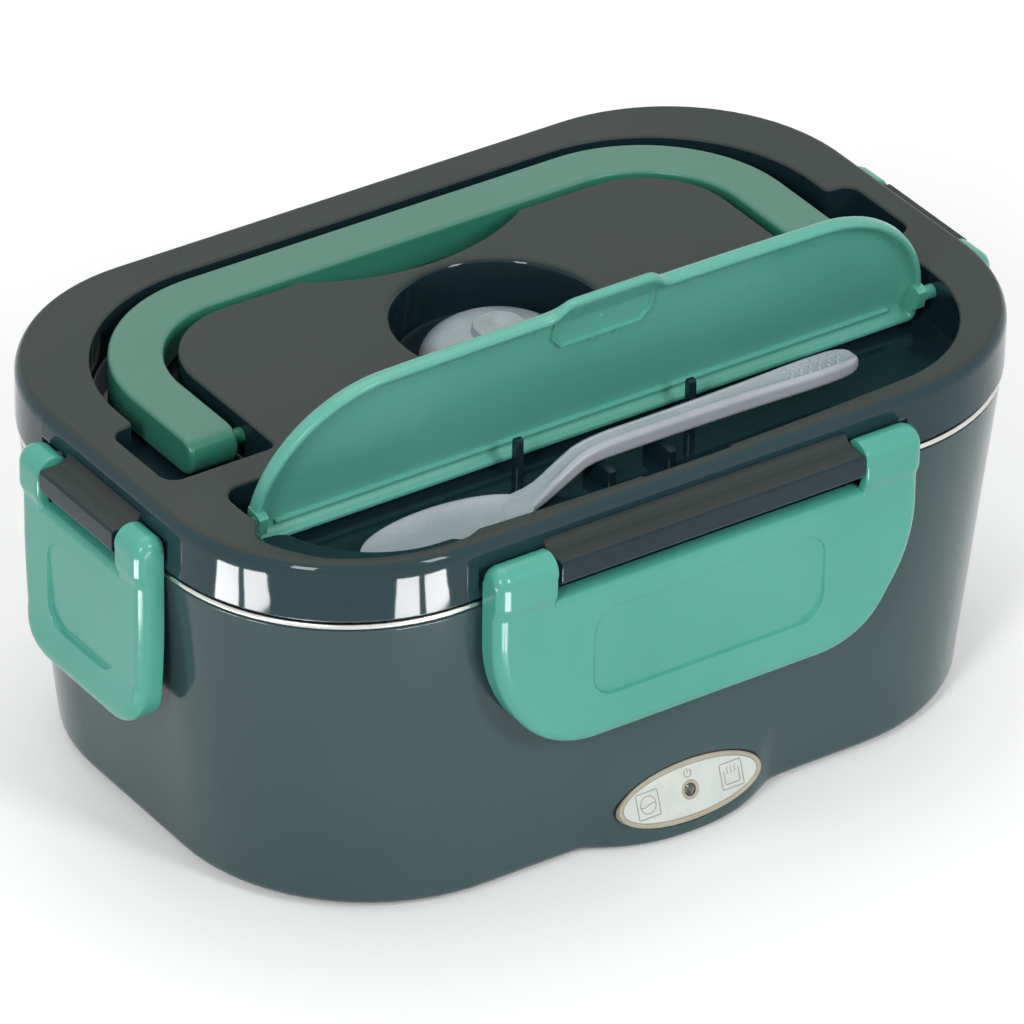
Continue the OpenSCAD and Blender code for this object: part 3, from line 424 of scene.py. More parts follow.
def casing_ring(z, inset, outside=True):
    """The casing's outline at a height; only its outer side has the chin."""
    hx = half_l - bead_out - taper_ends * taper(z) - inset
    hy = front_depth(z) - inset
    r = rim_corner + 2 * taper(z) - inset
    front = []
    for x in front_xs:
        x = max(min(x, hx - r - 0.5), r - hx + 0.5)
        reach = chin_at(x, z, inset) if outside and z < chin_top else -inset
        front.append(Vector((x, -front_depth(z) - reach)))
    one, two, three, four = quarters(hx, hy, r)
    return [(p.x, p.y, z) for p in one + two + three + front + four]


petrol = Finish("petrol_gloss_casing", sheen=0.3)
petrol_mask = petrol.noise(9, 3).ramp(0.35, 0.65)
petrol_tone = petrol.tone(petrol_mask, (60, 84, 86), (66, 90, 92))
# painted shade: a dark line round the badge, on the chin's face only, stands for the shade in the
# gap
badge_gap = 0.35
badge_u = petrol.axis("X") / ((badge_a + badge_gap) * mm)
badge_v = ((petrol.axis("Z") - badge_z * mm)
           / ((badge_b + badge_gap) * mm * cos(badge_tilt)))
badge_gap_shade_edge = badge_u.math("SQRT", badge_u * badge_u + badge_v * badge_v).ramp(1, 1.03)
on_chin = 1 - (petrol.axis("Y") / mm).ramp(-73, -72)
petrol.put("Base Color",
           petrol.blend((1 - badge_gap_shade_edge) * on_chin, petrol_tone, srgb(10, 14, 17)))
petrol.put("Roughness", petrol.drift(60, 0.09, 0.16))
petrol.bump(petrol.noise(220, 1), 0.00002, 0.25)

shell = bmesh.new()
profile = [(casing_low + foot_round * (1 - cos(a)), foot_round * (1 - sin(a)))
           for a in (radians(15 * i) for i in range(7))]
profile += [(casing_low + foot_round + i / 2, 0) for i in range(1, 41)]
profile += [(casing_low + foot_round + i, 0) for i in range(21, 37)]
profile += [(48, 0), (60, 0), (casing_top - 0.5, 0), (casing_top - 0.15, 0.1),
            (casing_top, 0.45)]
# the inside has a ledge for the liner near the top, and one for the bottom cover
inside = [(casing_top, casing_wall - 0.3), (casing_top - 0.3, casing_wall),
          (casing_top - 4.2, casing_wall), (casing_top - 4.2, casing_wall + 2),
          (casing_top - 7.2, casing_wall + 2), (casing_top - 10.2, casing_wall),
          (5.6, casing_wall), (5.6, casing_wall + 5), (3.6, casing_wall + 5),
          (3.6, foot_round + 1), (casing_low, foot_round + 1)]
skin(shell, [ring(shell, casing_ring(z, inset)) for z, inset in profile]
     + [ring(shell, casing_ring(z, inset, False)) for z, inset in inside], closed=True)
bmesh.ops.remove_doubles(shell, verts=shell.verts, dist=0.0005)
# two openings in the back wall for the inlets
inlet_z = 13.1
wall_y = 68
for x, half_x, half_z in ((-22, 9.9, 5.2), (22, 4.8, 4.8)):
    cuts = [((x + s * half_x, 0, 0), (1, 0, 0)) for s in (-1, 1)]
    cuts += [((0, 0, inlet_z + s * half_z), (0, 0, 1)) for s in (-1, 1)]
    for spot, way in cuts:
        wall = [f for f in shell.faces if f.calc_center_median().y > wall_y
                and f.calc_center_median().z < 45]
        geom = wall + list({e for f in wall for e in f.edges})
        geom += list({v for f in wall for v in f.verts})
        bmesh.ops.bisect_plane(shell, geom=geom, plane_co=spot, plane_no=way, dist=0.0001)
    middles = {f: f.calc_center_median() for f in shell.faces}
    hole = [f for f, p in middles.items() if p.y > wall_y and abs(p.x - x) < half_x
            and abs(p.z - inlet_z) < half_z]
    bmesh.ops.delete(shell, geom=hole, context="FACES")
    bmesh.ops.bridge_loops(shell, edges=[e for e in shell.edges if e.is_boundary])
piece("casing_shell", shell, petrol, "base", ["outer_shell"])


# ---- Steel pot ----
# Drawn from one thin sheet of polished stainless steel, with a rolled bead round its flange.
# The flange rests on the casing, so that only the bead shows as a bright line under the lid.

seat_gap = 0.35
pot_rest = 84.35
bead_r = 0.8
pot_floor = 21.5
pot_draft = 5

steel = Finish("polished_steel", Metallic=1)
steel.stain(steel.noise(6, 3), (206, 205, 200), (222, 221, 217))
steel.put("Roughness", steel.drift(90, 0.16, 0.3))
steel.bump(steel.streaks(40, (1, 1, 30)), 0.00002, 0.3)


def rim(inset):
    return rounded_box(half_l - inset, half_d - inset, rim_corner - inset)


bead = [(pot_rest + bead_r - bead_r * cos(a), bead_r - bead_r * sin(a))
        for a in (radians(20 * i) for i in range(14))]
pot_lines = bead + [(pot_rest + 1.2, 2.2), (pot_rest + 1.2, 6.8), (pot_rest + 0.6, 7.5),
                    (pot_rest - 1.6, 7.9), (40, 7.9 + pot_draft * 0.7), (30, 14.2),
                    (25.5, 16.5), (22.9, 20), (pot_floor + 0.8, 25)]
pot_under = [(pot_floor, 25), (22.1, 19.6), (24.8, 15.8), (29.6, 13.4),
             (40, 7.1 + pot_draft * 0.7), (pot_rest - 2, 7.2), (pot_rest + 0.4, 6.6),
             (pot_rest + 0.4, 2)]
pot = bmesh.new()
loops = skin(pot, [ring(pot, rim(inset), z) for z, inset in pot_lines])
under = skin(pot, [ring(pot, rim(inset), z) for z, inset in pot_under])
skin(pot, [under[-1], loops[0]])
cap(pot, loops[-1], under[0])
piece("food_pot", pot, steel, "pot", ["steel_pot"])


# ---- Lid ----
# One moulding of the casing's plastic: glossy round its side, with a fine satin grain on top,
# where the bay, the handle's channel and the valve's well are sunk in.

lid_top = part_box("lid_shell")[1][2] / mm
lid_base = pot_rest + 2 * bead_r + seat_gap
latch_out = 3.9
latch_z = lid_top - 10.2
knuckle = 4.5
ear_room = 4.9
ear_gap = 0.6
long_latch = 60.5
short_latch = 27
long_bar = 43.2
short_bar = 16

lid_plastic = Finish("dark_lid_gloss_and_satin", sheen=0.25)
height = lid_plastic.axis("Z") / mm
lid_drift = lid_plastic.drift(14)
# painted shade: the sunk walls are painted darker than the lid's side, as they see less of the
# room
lid_x = abs(lid_plastic.axis("X") / (114 * mm))
lid_y = abs(lid_plastic.axis("Y") / (75 * mm))
lid_outer_unshaded = (lid_x.math("POWER", lid_x, 4) + lid_y.math("POWER", lid_y, 4)).ramp(0.9, 0.95)
lid_gloss_with_painted_shade = lid_plastic.blend(lid_outer_unshaded, srgb(24, 44, 50),
                              lid_plastic.tone(lid_drift, (34, 62, 68), (38, 66, 72)))
gloss_and_satin(lid_plastic, height.ramp(lid_top - 0.75, lid_top - 0.35), lid_gloss_with_painted_shade, lid_drift,
                ((48, 57, 54), (53, 61, 58)), 0.06)


def swell(points, grow):
    """A closed outline moved out by grow along its corners' mean directions."""
    flat = [Vector((p[0], p[1])) for p in points]
    moved = []
    for i, here in enumerate(flat):
        before = (here - flat[i - 1]).normalized()
        after = (flat[(i + 1) % len(flat)] - here).normalized()
        out = Vector((before.y + after.y, -before.x - after.x))
        moved.append(here + out * (grow / (1 + before.dot(after))))
    return moved


def relieved(x, y, z):
    """Keeps a point of the lid's side out of the hollow that a latch's ear turns in."""
    room = ear_room ** 2 - (z - latch_z) ** 2
    if room <= 0:
        return x, y
    reach = latch_out - sqrt(room)
    if abs(y) > half_d - 4 and long_bar < abs(x) < long_latch + ear_gap:
        y = copysign(min(abs(y), half_d + reach), y)
    if abs(x) > half_l - 4 and short_bar < abs(y) < short_latch + ear_gap:
        x = copysign(min(abs(x), half_l + reach), x)
    return x, y


def hollow_ends(bar, latch):
    """Places along a side, two at each end of the hollows of its latch's ears."""
    right = [bar - 0.05, bar + 0.05, latch + ear_gap - 0.05, latch + ear_gap + 0.05]
    return [-x for x in reversed(right)] + right


def lid_side(z, out):
    hx, hy, r = half_l + out, half_d + out, rim_corner + out
    ends = hollow_ends(short_bar, short_latch)
    sides = hollow_ends(long_bar, long_latch)
    points = ([(hx, y) for y in ends] + arc(hx - r, hy - r, r, 2.5, 90)
              + [(x, hy) for x in reversed(sides)] + arc(r - hx, hy - r, r, 90, 177.5)
              + [(-hx, y) for y in reversed(ends)] + arc(r - hx, r - hy, r, 182.5, 270)
              + [(x, -hy) for x in sides] + arc(hx - r, r - hy, r, 270, 357.5))
    return [(*relieved(p[0], p[1], z), z) for p in points]


bay_half = 99
bay_front = -72
bay_back = -24.8
bay_r = 37
bay_floor = 87.6
bay_cx = bay_half - bay_r
bay_cy = bay_front + 2 + bay_r
dip_flare = 5.8
notch_deep = 0.7
top_inset = 2.4
top_edge_r = 0.8
well_edge_r = 2


def smooth(share):
    """A share between 0 and 1, eased in and out."""
    share = min(max(share, 0), 1)
    return share ** 2 * (3 - 2 * share)


def dip_share(angle):
    """How much of the finger dip there is at an angle round the bay's front left corner."""
    return smooth(min((angle - 190) / 9, (281 - angle) / 12))


def dip_reach(angle):
    """How far the dip's top edge may flare before it meets the lid's rounded shoulder."""
    reach = 0
    way = Vector((cos(radians(angle)), sin(radians(angle))))
    while reach < dip_flare:
        x, y = Vector((-bay_cx, bay_cy)) + way * (bay_r + reach + 1.7)
        corner = Vector((max(abs(x) - half_l + rim_corner, 0),
                         max(abs(y) - half_d + rim_corner, 0)))
        if corner.length > rim_corner - top_inset:
            break
        reach += 0.1
    return reach


def bay_wall(x, grow):
    """The bay's front wall, which bows out in the middle."""
    return bay_front + 2 - grow - 2 * (1 - (x / bay_cx) ** 2)


def bay_loop(z, grow=0, flare=0, shelf=0):
    """The bay's outline, moved out by grow, with the dip flared out or its shelf left in."""
    left = []
    for turn in range(181, 300, 3):
        t = radians(turn)
        kept = shelf * min(1, 3 * dip_share(turn))
        reach = bay_r + grow + flare * dip_reach(turn) * dip_share(turn) - kept
        x = -bay_cx + reach * cos(t)
        y = bay_cy + reach * sin(t)
        wall = bay_wall(x, grow)
        if turn <= 270:
            left.append((x, y, z))
        elif x < -26:
            left.append((x, min(wall, y) if flare else wall + kept, z))
    start = left[-1][0]
    notch_end = [x + grow for x in (11.2, 12, 12.6)]
    front = []
    for x in [start + 4, -20, -16, *(-x for x in reversed(notch_end)), -6, 0, 6, *notch_end,
              16, 24, 34, 44, 53]:
        deep = notch_deep if z > 93.8 and abs(x) < 12.3 + grow else 0
        front.append((x, bay_wall(x, grow) - deep, z))
    r = 5
    rest = (arc(bay_cx, bay_cy, bay_r + grow, 270, 360)
            + arc(bay_half - r, bay_back - r, r + grow, 0, 90, 6)
            + arc(r - bay_half, bay_back - r, r + grow, 90, 180, 6))
    return left + front + [(p.x, p.y, z) for p in rest]


channel_floor = 91
# the channel's outline: feet round the pins, the arch, and a scoop for the fingers inside it
scoop = arc(0, 95, 59.7, 237.2, 302.8, 16)
channel_side = (arc(79.5, -12.5, 2.5, 180, 270, 4) + arc(103, -11, 4, 270, 360, 6)
                + arc(103, 7, 4, 0, 90, 6) + arc(102, 13, 2, 270, 180, 4)
                + arc(53.8, 17.8, 46.2, 0, 90))
channel_line = (channel_side[:1] + channel_side + mirrored(channel_side)
                + arc(-53.8, 21.5, 23.2, 180, 90, 12) + corners((-34, 44.6)) + scoop
                + corners((34, 44.6)) + arc(53.8, 21.5, 23.2, 90, 0, 12))
well_y = 5.9
well_r = 26.3


def edge_steps(radius, steps=5):
    """Heights below and widths beyond a wall's line, round its top edge."""
    turns = [radians(90 * i / steps) for i in range(steps + 1)]
    return [(radius * (1 - cos(t)), radius * (1 - sin(t))) for t in turns]


shoulder_z = 98.4
shoulder_in = 0.28
side_lines = [(lid_base - 0.2, -8.2), (lid_base + 2.4, -8), (lid_base + 2.6, -3),
              (lid_base, -2.8), (lid_base + 0.01, -0.6), (lid_base + 0.12, -0.3),
              (lid_base + 0.6, 0)]
# a side that bulges a little, and a round shoulder
side_lines += [(z / 10, 0.3 - 0.0045 * abs(z / 10 - 93)) for z in range(872, 984, 8)]
side_lines += [(shoulder_z + (lid_top - shoulder_z) * sin(t),
                shoulder_in - (top_inset + shoulder_in) * (1 - cos(t)))
               for t in (radians(9 * i) for i in range(11))]
lid = bmesh.new()
loops = loft(lid, lid_side, side_lines)
cap(lid, loops[0])

# height, growth, flare of the finger dip, and how much of its shelf is left in
bay_lines = [(lid_top - down, out, 1) for down, out in edge_steps(top_edge_r)]
bay_lines += [(z, 0, (z - 96.5) / 5.5) for z in (100, 99, 98, 97.2, 96.6)]
bay_lines += [(96.35, 0, 0, 0.4), (96.25, 0, 0, 6.4), (96, 0, 0, 6.9), (95.4, 0, 0, 7),
              (93.85, 0, 0, 7), (93.75, 0, 0, 7), (bay_floor + 1.2, 0, 0, 7),
              (bay_floor + 0.35, -0.35, 0, 7), (bay_floor, -1.2, 0, 7)]
bay_rings = loft(lid, bay_loop, bay_lines)

channel_lines = [(out, lid_top - down) for down, out in edge_steps(top_edge_r)]
channel_lines += [(0, 96), (0, channel_floor + 1), (-0.3, channel_floor + 0.3),
                  (-1, channel_floor)]
channel_rings = skin(lid, [ring(lid, swell(channel_line, out), z) for out, z in channel_lines])

well_lines = [(out, lid_top - down) for down, out in edge_steps(well_edge_r, 8)]
well_lines += [(0, 96), (0, bay_floor + 1.5), (-0.45, bay_floor + 0.45), (-1.5, bay_floor)]
well_rings = skin(lid, [ring(lid, arc(0, well_y, well_r + out, 0, 354, 59), z)
                        for out, z in well_lines])
for edges in (loops[-1] + bay_rings[0] + channel_rings[0] + well_rings[0],
              bay_rings[-1], channel_rings[-1], well_rings[-1]):
    fill(lid, edges)
piece("lid_top_shell", lid, lid_plastic, "lid", ["lid_shell", "lid_bay", "lid_well"])


# ---- Latch bars ----
# Four bars moulded on the lid's side, which carry the pins that the latches turn on. Each has
# a flat satin top that runs into the lid's wall by a cove, and a glossy front edge.

bar_out = 8.3
bar_plastic = Finish("dark_bar_gloss_and_satin", sheen=0.25)
bar_rise = bar_plastic.axis("Z") / mm
bar_drift = bar_plastic.drift(14)
bar_satin = bar_rise.ramp(latch_z + 2.72, latch_z + 2.78) * (1 - bar_rise.ramp(96.6, 97.2))
# painted shade: the bars' gloss is darker than the same plastic on the lid, to take down the
# light their front faces catch from the white card
gloss_and_satin(bar_plastic, bar_satin, bar_plastic.tone(bar_drift, (24, 45, 51), (28, 49, 55)),
                bar_drift, ((46, 54, 52), (51, 59, 57)), 0.1)


def turned(side):
    """The frame of a latch's axis: x along the axis, y away from the lid, z up."""
    out = (half_d if side < 2 else half_l) + latch_out
    spin = Matrix.Rotation(radians((180, 0, 90, -90)[side]), 4, "Z")
    return spin @ Matrix.Translation((0, out, latch_z))


def soft_ends(half, length=0.3, inset=0.3):
    """Stations of a bar whose two ends are chamfered."""
    return [(-half, inset), (length - half, 0), (half - length, 0), (half, inset)]


def span(bm, section, stations):
    """Sections of y and z at stations of x, each moved in by an inset, capped at both ends."""
    loops = skin(bm, [ring(bm, [(x, p.x, p.y) for p in swell(section, -inset)])
                      for x, inset in stations])
    cap(bm, loops[0], loops[-1])


side_names = ("front", "back", "left", "right")
bar_tip = bar_out - latch_out
bar_section = (corners((-4.6, -3.4), (-3.9, -3.4)) + arc(bar_tip - 1.2, -2.2, 1.2, 270, 360, 5)
               + arc(bar_tip - 0.9, 1.9, 0.9, 0, 90, 5) + arc(-0.6, 5.7, 2.9, 268, 181, 8)
               + corners((-4.6, 5.7)))
for side, name in enumerate(side_names):
    half = long_bar if side < 2 else short_bar
    bar = bmesh.new()
    span(bar, bar_section, [(-half, 0.35), (0.1 - half, 0.1), (0.35 - half, 0),
                            (half - 0.35, 0), (half - 0.1, 0.1), (half, 0.35)])
    piece("bar_" + name, bar, bar_plastic, "lid", place=turned(side))


# ---- Latches ----
# Four moulded flaps that hang from the bars and hook under the casing's catch bars. Each has a
# window round its bar, two round ears, a deep rounded edge, and a shallow sunk panel.

latch_drop = 50
flange_in = -3.2
window_low = -9.4
window_r = 1.6
hook_z = 71.5
latch_wall = 2.2
latch_soft = 3.4
panel_top = -14.8
panel_bottom = -39.2
panel_r = 6.5
panel_share = 0.55
face_top = -5
lip_top = -47
face_dip = 1.1
pin_r = 1.75

latch_green = Finish("soft_green_latches", sheen=0.45)
latch_green.stain(latch_green.drift(18), (76, 168, 149), (84, 175, 156))
latch_green.put("Roughness", latch_green.drift(300, 0.16, 0.24, 2))
latch_green.bump(latch_green.noise(900), 0.00001, 0.15)


def latch_side(half, inset):
    """One lower corner of a latch: a tight curve that runs into a long slack one."""
    wide = half * 0.476
    tall = latch_drop * 0.68
    tight = wide * 0.9
    slack = (wide ** 2 + tall ** 2 - 2 * tall * tight) / (2 * (wide - tight))
    turn = -degrees(atan((tall - tight) / (slack - wide)))
    return (arc(half - wide, tight - latch_drop, tight - inset, 270, 360 + turn, 14)
            + arc(half - slack, tall - latch_drop, slack - inset, 360 + turn, 360, 14)[1:])


def latch_loop(half, bar, inset, widen, depth):
    """A latch's outline with its window, at a depth: inset outside, widened inside."""
    edge = bar + ear_gap + widen
    side = corners((half - inset, -6), (half - inset, 0), (edge, 0), (edge, -4))
    window = arc(edge - window_r, window_low - widen + window_r, window_r, 0, -90, 6)
    right = latch_side(half, inset) + side + window
    return [(p.x, depth, p.y) for p in right + mirrored(right)]


def panel_loop(half, inset, sink):
    """The sunk panel's outline, which lies deeper towards its lower edge."""
    middle = (panel_top + panel_bottom) / 2
    tall = panel_top - panel_bottom
    line = rounded_box(half * panel_share - inset, tall / 2 - inset, panel_r - inset, 8)
    return [(p.x, knuckle - sink * (0.3 + 0.7 * (tall / 2 - p.y) / tall), middle + p.y)
            for p in line]


def draw_line(bm, path, wide, section):
    """Draws a section of shares of half its width and heights along a flat line."""
    loops = []
    for i, here in enumerate(path):
        way = (path[min(i + 1, len(path) - 1)] - path[max(i - 1, 0)]).normalized()
        side = Vector((-way.y, way.x)) * wide / 2
        loops.append(ring(bm, [(*(here + side * share), z) for share, z in section]))
    skin(bm, loops)
    cap(bm, loops[0], loops[-1])


def turn_round(bm, profile, axis, centre, angle=360, steps=24):
    """Spins a line of points round an axis."""
    verts = [bm.verts.new(p) for p in profile]
    edges = [bm.edges.new(pair) for pair in zip(verts, verts[1:])]
    bmesh.ops.spin(bm, geom=verts + edges, cent=centre, axis=axis, dvec=(0, 0, 0),
                   angle=radians(angle), steps=steps, use_merge=angle == 360)


def turn_ends(bm, profile, axle=(0, 0), angle=360, steps=24):
    """Spins a line of stations and radii round the x axis through axle, at both ends."""
    y, z = axle
    for end in (-1, 1):
        turn_round(bm, [(end * x, y, z + r) for x, r in profile], (1, 0, 0), (0, y, z),
                   angle, steps)


def turn_up(bm, profile, foot, steps):
    """Spins a line of radii and heights round an upright axis on its foot."""
    x, y, z = foot
    turn_round(bm, [(x + r, y, z + h) for r, h in profile], (0, 0, 1), foot, steps=steps)


def make_latch(half, bar, catch_half):
    bm = bmesh.new()
    turns = [radians(11.25 * i) for i in range(9)]
    rolled = [(latch_soft * (1 - sin(t)), knuckle - 2.6 * (1 - cos(t)))
              for t in turns]
    outer = [(inset, 1.5 * (1 - sin(t)) ** 2, depth)
             for (inset, depth), t in zip(rolled, turns)]
    inner = [(0, 0, flange_in + 0.3), (0.3, 0.1, flange_in), (latch_wall - 0.3, 0.1, flange_in),
             (latch_wall, 0, flange_in + 0.3), (latch_wall, 0, knuckle - latch_wall - 1),
             (latch_wall + 0.8, 0, knuckle - latch_wall)]
    loops = skin(bm, [ring(bm, latch_loop(half, bar, *line)) for line in outer + inner])
    panel = [(0, 0), (0.08, 0.1), (0.12, 0.3), (0.35, 1.05), (0.7, 1.15)]
    sunk = skin(bm, [ring(bm, panel_loop(half, *line)) for line in panel])
    cap(bm, sunk[-1], loops[-1])
    fill(bm, loops[0] + sunk[0])
    for low in (face_top, -6, -7, -8, -9, -36.6, -38, -39.5, -41, -42.5, -44, -45.5, lip_top):
        bmesh.ops.bisect_plane(bm, geom=bm.verts[:] + bm.edges[:] + bm.faces[:],
                               plane_co=(0, 0, low), plane_no=(0, 0, 1))
    # the face is drawn in between the ears and the lower lip, which flares out
    for vert in bm.verts:
        if vert.co.y > 0:
            share = min((face_top - vert.co.z) / 4, (vert.co.z - lip_top) / 10)
            vert.co.y -= face_dip * smooth(share)
    ear_end = half - 0.02
    ear = [(bar + ear_gap, 0), (bar + ear_gap, knuckle - 0.9), (bar + 0.75, knuckle - 0.35),
           (bar + 1.3, knuckle)] + [(ear_end - inset, depth) for inset, depth in rolled]
    turn_ends(bm, ear + [(ear_end, 0)], steps=48)
    turn_ends(bm, [(bar - 4, 0), (bar - 4, pin_r - 0.35), (bar - 3.6, pin_r), (bar + 1, pin_r),
                   (bar + 1, 0)])
    # the face curls in under the bar, just clear of it as the latch swings
    curl = corners((1.5, -11.5), (3.3, -11.5), (3.38, -11), (3.38, -9.8), (3.28, -9.2),
                   (3, -8.6), (2.55, -8.15), (1.9, -7.8), (1, -7.55), (0, -7.45),
                   (-0.8, -7.45), (-1.1, -7.75), (-0.8, -8.1), (0.3, -8.3), (1, -8.7),
                   (1.5, -9.4))
    span(bm, curl, [(-bar - 0.8, 0), (bar + 0.8, 0)])
    low = hook_z - latch_z
    hook = corners((-3.2, low + 0.9), (-2.6, low), (2.4, low), (2.4, low + 2.2),
                   (-2.9, low + 2.2), (-3.2, low + 1.9))
    span(bm, hook, soft_ends(catch_half, 0.4, 0.3))
    return bm


for side, name in enumerate(side_names):
    sizes = (long_latch, long_bar, 30) if side < 2 else (short_latch, short_bar, 10)
    piece("flap_" + name, make_latch(*sizes), latch_green, name + "_latch",
          ["latch_" + name], crease=34, place=turned(side))


# ---- Carrying handle ----
# A moulded arch that lies in its channel and swings up on two pins. Its top is flat, its edges
# are well rounded, and each end is rounded about its pin.

handle_half = 93.8
handle_back = 61.5
handle_turn = 40
handle_wide = 13.4
handle_deep = 5
handle_z = 96.8
pivot_y = 0.7
handle_edge = 1.3

handle_green = Finish("satin_green_handle", sheen=0.4)
handle_high = (handle_green.axis("Z") / mm).ramp(handle_z + 3.6, handle_z + 4.9)
handle_drift = handle_green.drift(16)
handle_green.put("Base Color", handle_green.blend(
    handle_high, handle_green.tone(handle_drift, (56, 132, 110), (62, 138, 116)),
    handle_green.tone(handle_drift, (82, 131, 113), (87, 137, 119))))
handle_green.put("Roughness", 0.2 + 0.22 * handle_high)
handle_green.bump(handle_green.noise(1300), 0.00002, 0.4)

# half of the handle's section above its middle: inwards and up, from its outer side
upper = arc(-handle_edge, handle_deep - handle_edge, handle_edge, 0, 90, 6)
upper += arc(handle_edge - handle_wide, handle_deep - handle_edge, handle_edge, 90, 180, 6)
section = [(0, 0), *upper, (-handle_wide, 0), *((u, -w) for u, w in reversed(upper))]
# places along its middle line, each with the way out from it
path = [((handle_half, pivot_y), (1, 0))]
path += [((handle_half - handle_turn + handle_turn * cos(t),
           handle_back - handle_turn + handle_turn * sin(t)), (cos(t), sin(t)))
         for t in (radians(90 * i / 28) for i in range(29))]
path += [((-x, y), (-a, b)) for (x, y), (a, b) in reversed(path)]
handle = bmesh.new()
skin(handle, [ring(handle, [(x + a * u, y + b * u, handle_z + w) for u, w in section])
              for (x, y), (a, b) in path])
tip = [(handle_half, 0)] + [(handle_half + u, w) for u, w in upper]
tip += [(handle_half - handle_wide, 0)]
turn_ends(handle, tip, (pivot_y, handle_z), 180)
turn_ends(handle, [(73.7, 0), (73.7, 1.5), (74.1, 1.95), (82, 1.95), (82, 0)],
          (pivot_y, handle_z))
piece("handle_arch", handle, handle_green, "handle", ["carry_handle"], crease=40)


# ---- Utensil cover ----
# A thin moulded dish that closes the bay and swings on two pins by the bay's back wall. It is
# seen from inside, with its rounded lip, its finger tab and the bead along its hinge edge.

cover_y = -34.3
cover_z = 96.8
cover_open = radians(78.5)
cover_half = 95.8
cover_front = 33.4
cover_back = 8.4
cover_r = 34.3

cover_green = Finish("thin_green_cover", sheen=0.45)
cover_streak = cover_green.streaks(60, (0.35, 1, 1))
cover_cloud = 0.6 * cover_green.drift(16) + 0.4 * cover_streak.ramp(0.35, 0.65)
# partly painted light: the cover's green is raised above its own colour, to make up for the front
# light its leaning face misses; its streaks and clouds are its own
cover_green.stain(cover_cloud, (91, 173, 154), (99, 181, 162))
cover_green.put("Roughness", cover_streak.ramp(0.3, 0.7, 0.22, 0.32))
cover_green.bump(cover_green.noise(900), 0.00001, 0.15)


def cover_loop(inset, rise, tab=0):
    """The cover's outline at an inset and a rise, with its front edge drawn out at the tab."""
    hx = cover_half - inset
    r = cover_r - inset
    cx = hx - r
    back_r = 2.5 - min(inset, 2)
    top = cover_back - inset
    left = [(p.x, min(p.y, top - back_r))
            for p in arc(-cx, cover_r + 0.6 - cover_front, r, 180, 270, 24)]
    front = []
    for x in [-56, -48, -40, -32, -25, -20, -17, -15.2, -13.6, -12, -10.5, -8, -4]:
        lift = tab * smooth((17 + x) / 6)
        front.append((x, inset - cover_front + 0.6 * (x / cx) ** 2 - lift))
    middle = (0, inset - cover_front - tab)
    back = (arc(hx - back_r, top - back_r, back_r, 0, 90, 5)
            + arc(back_r - hx, top - back_r, back_r, 90, 180, 5))
    return [(x, y, rise) for x, y in [*left, *front, middle, *mirrored(left + front), *back]]


cover_lines = [(1, 0, 3.2), (0.55, 0.12, 3.3), (0.15, 0.45, 3.4), (0, 0.9, 3.4),
               (0, 2, 3.2), (0, 2.6, 2.2), (0.25, 3.3, 1.2), (0.8, 4, 0.5), (1.6, 4.45, 0.2),
               (2.6, 4.8, 0), (3.8, 5, 0), (6, 5, 0)]
inside_lines = [(8.5, 3.2, 0), (5.6, 3.1, 0), (4.2, 2.85, 0), (3.2, 2.3, 0.1), (2.4, 1.6, 0.8),
                (2, 0.9, 2), (1.85, 0.45, 2.9), (1.6, 0.12, 3.1)]
cover = bmesh.new()
outside = loft(cover, cover_loop, cover_lines)
inside = loft(cover, cover_loop, inside_lines)
skin(cover, [inside[-1], outside[0]])
cap(cover, outside[-1], inside[0])

# a fine lip round the sunk tab plate, the bead along the hinge edge, two ribs under the plate
# and the mark of the moulding gate
plate = corners((-14, -30.6), (-14, -24.6), (-11.2, -21.2), (11.2, -21.2), (14, -24.6),
                (14, -30.6))
beads = [(plate, 0.9, 2.35), (corners((-88, 4.2), (88, 4.2)), 1.3, 1.9)]
beads += [(corners((x, -21.6), (x, -20.2)), 0.8, 2) for x in (-2.5, 4.5)]
bead_low = 3.3
soft = 0.55
for line, wide, high in beads:
    half = [(1, bead_low), (0.9, bead_low + soft * (high - bead_low)), (soft, high)]
    draw_line(cover, line, wide, half + [(-share, z) for share, z in reversed(half)])
turn_up(cover, [(0, 2.75), (0.45, 2.8), (0.6, 3.3), (0, 3.3)], (0, -26.3, 0), 12)
turn_ends(cover, [(93, 0), (93, 1.85), (100.4, 1.85), (100.8, 1.45), (100.8, 0)])
lug = corners((-3, -0.6), (-2.4, -1.9), (2.4, -1.9), (3, -0.6), (3, 3.2), (-3, 3.2))
for ends in ((-95.7, -93.1), (93.1, 95.7)):
    span(cover, lug, [(x, 0) for x in ends])
piece("cover_dish", cover, cover_green, "cover", ["utensil_cover"], crease=50,
      place=Matrix.Translation((0, cover_y, cover_z)) @ Matrix.Rotation(-cover_open, 4, "X"))


# ---- Spoon rests ----
# Two low rests and two taller pegs with round tops, moulded on the bay's floor. They hold the
# spoon's handle off the floor, clear of the cover.

rest_low = bay_floor - 0.3
rest = corners((-54.6, rest_low), (-43.6, rest_low), (-43.6, 92.1), (-44.1, 92.6),
               (-54.1, 92.6), (-54.6, 92.1))
peg = (corners((-39.9, rest_low), (-37.3, rest_low), (-37.5, 97.6))
       + arc(-38.6, 97.8, 1.1, 10, 170, 8) + corners((-39.7, 97.6)))
pegs = bmesh.new()
for end in (-1, 1):
    for section, middle, soft in ((rest, 8.6, 0.25), (peg, 24.8, 0.3)):
        span(pegs, section, [(end * middle + x, inset)
                             for x, inset in soft_ends(1.1, soft, soft)])
piece("spoon_rests", pegs, lid_plastic, "lid")


# ---- Steam valve ----
# A soft cap of milky silicone that sits in its well on a short stem and lifts to let steam
# out. A small flat knob stands on its dome.

valve_z = 87.95
dome_r = 19.5

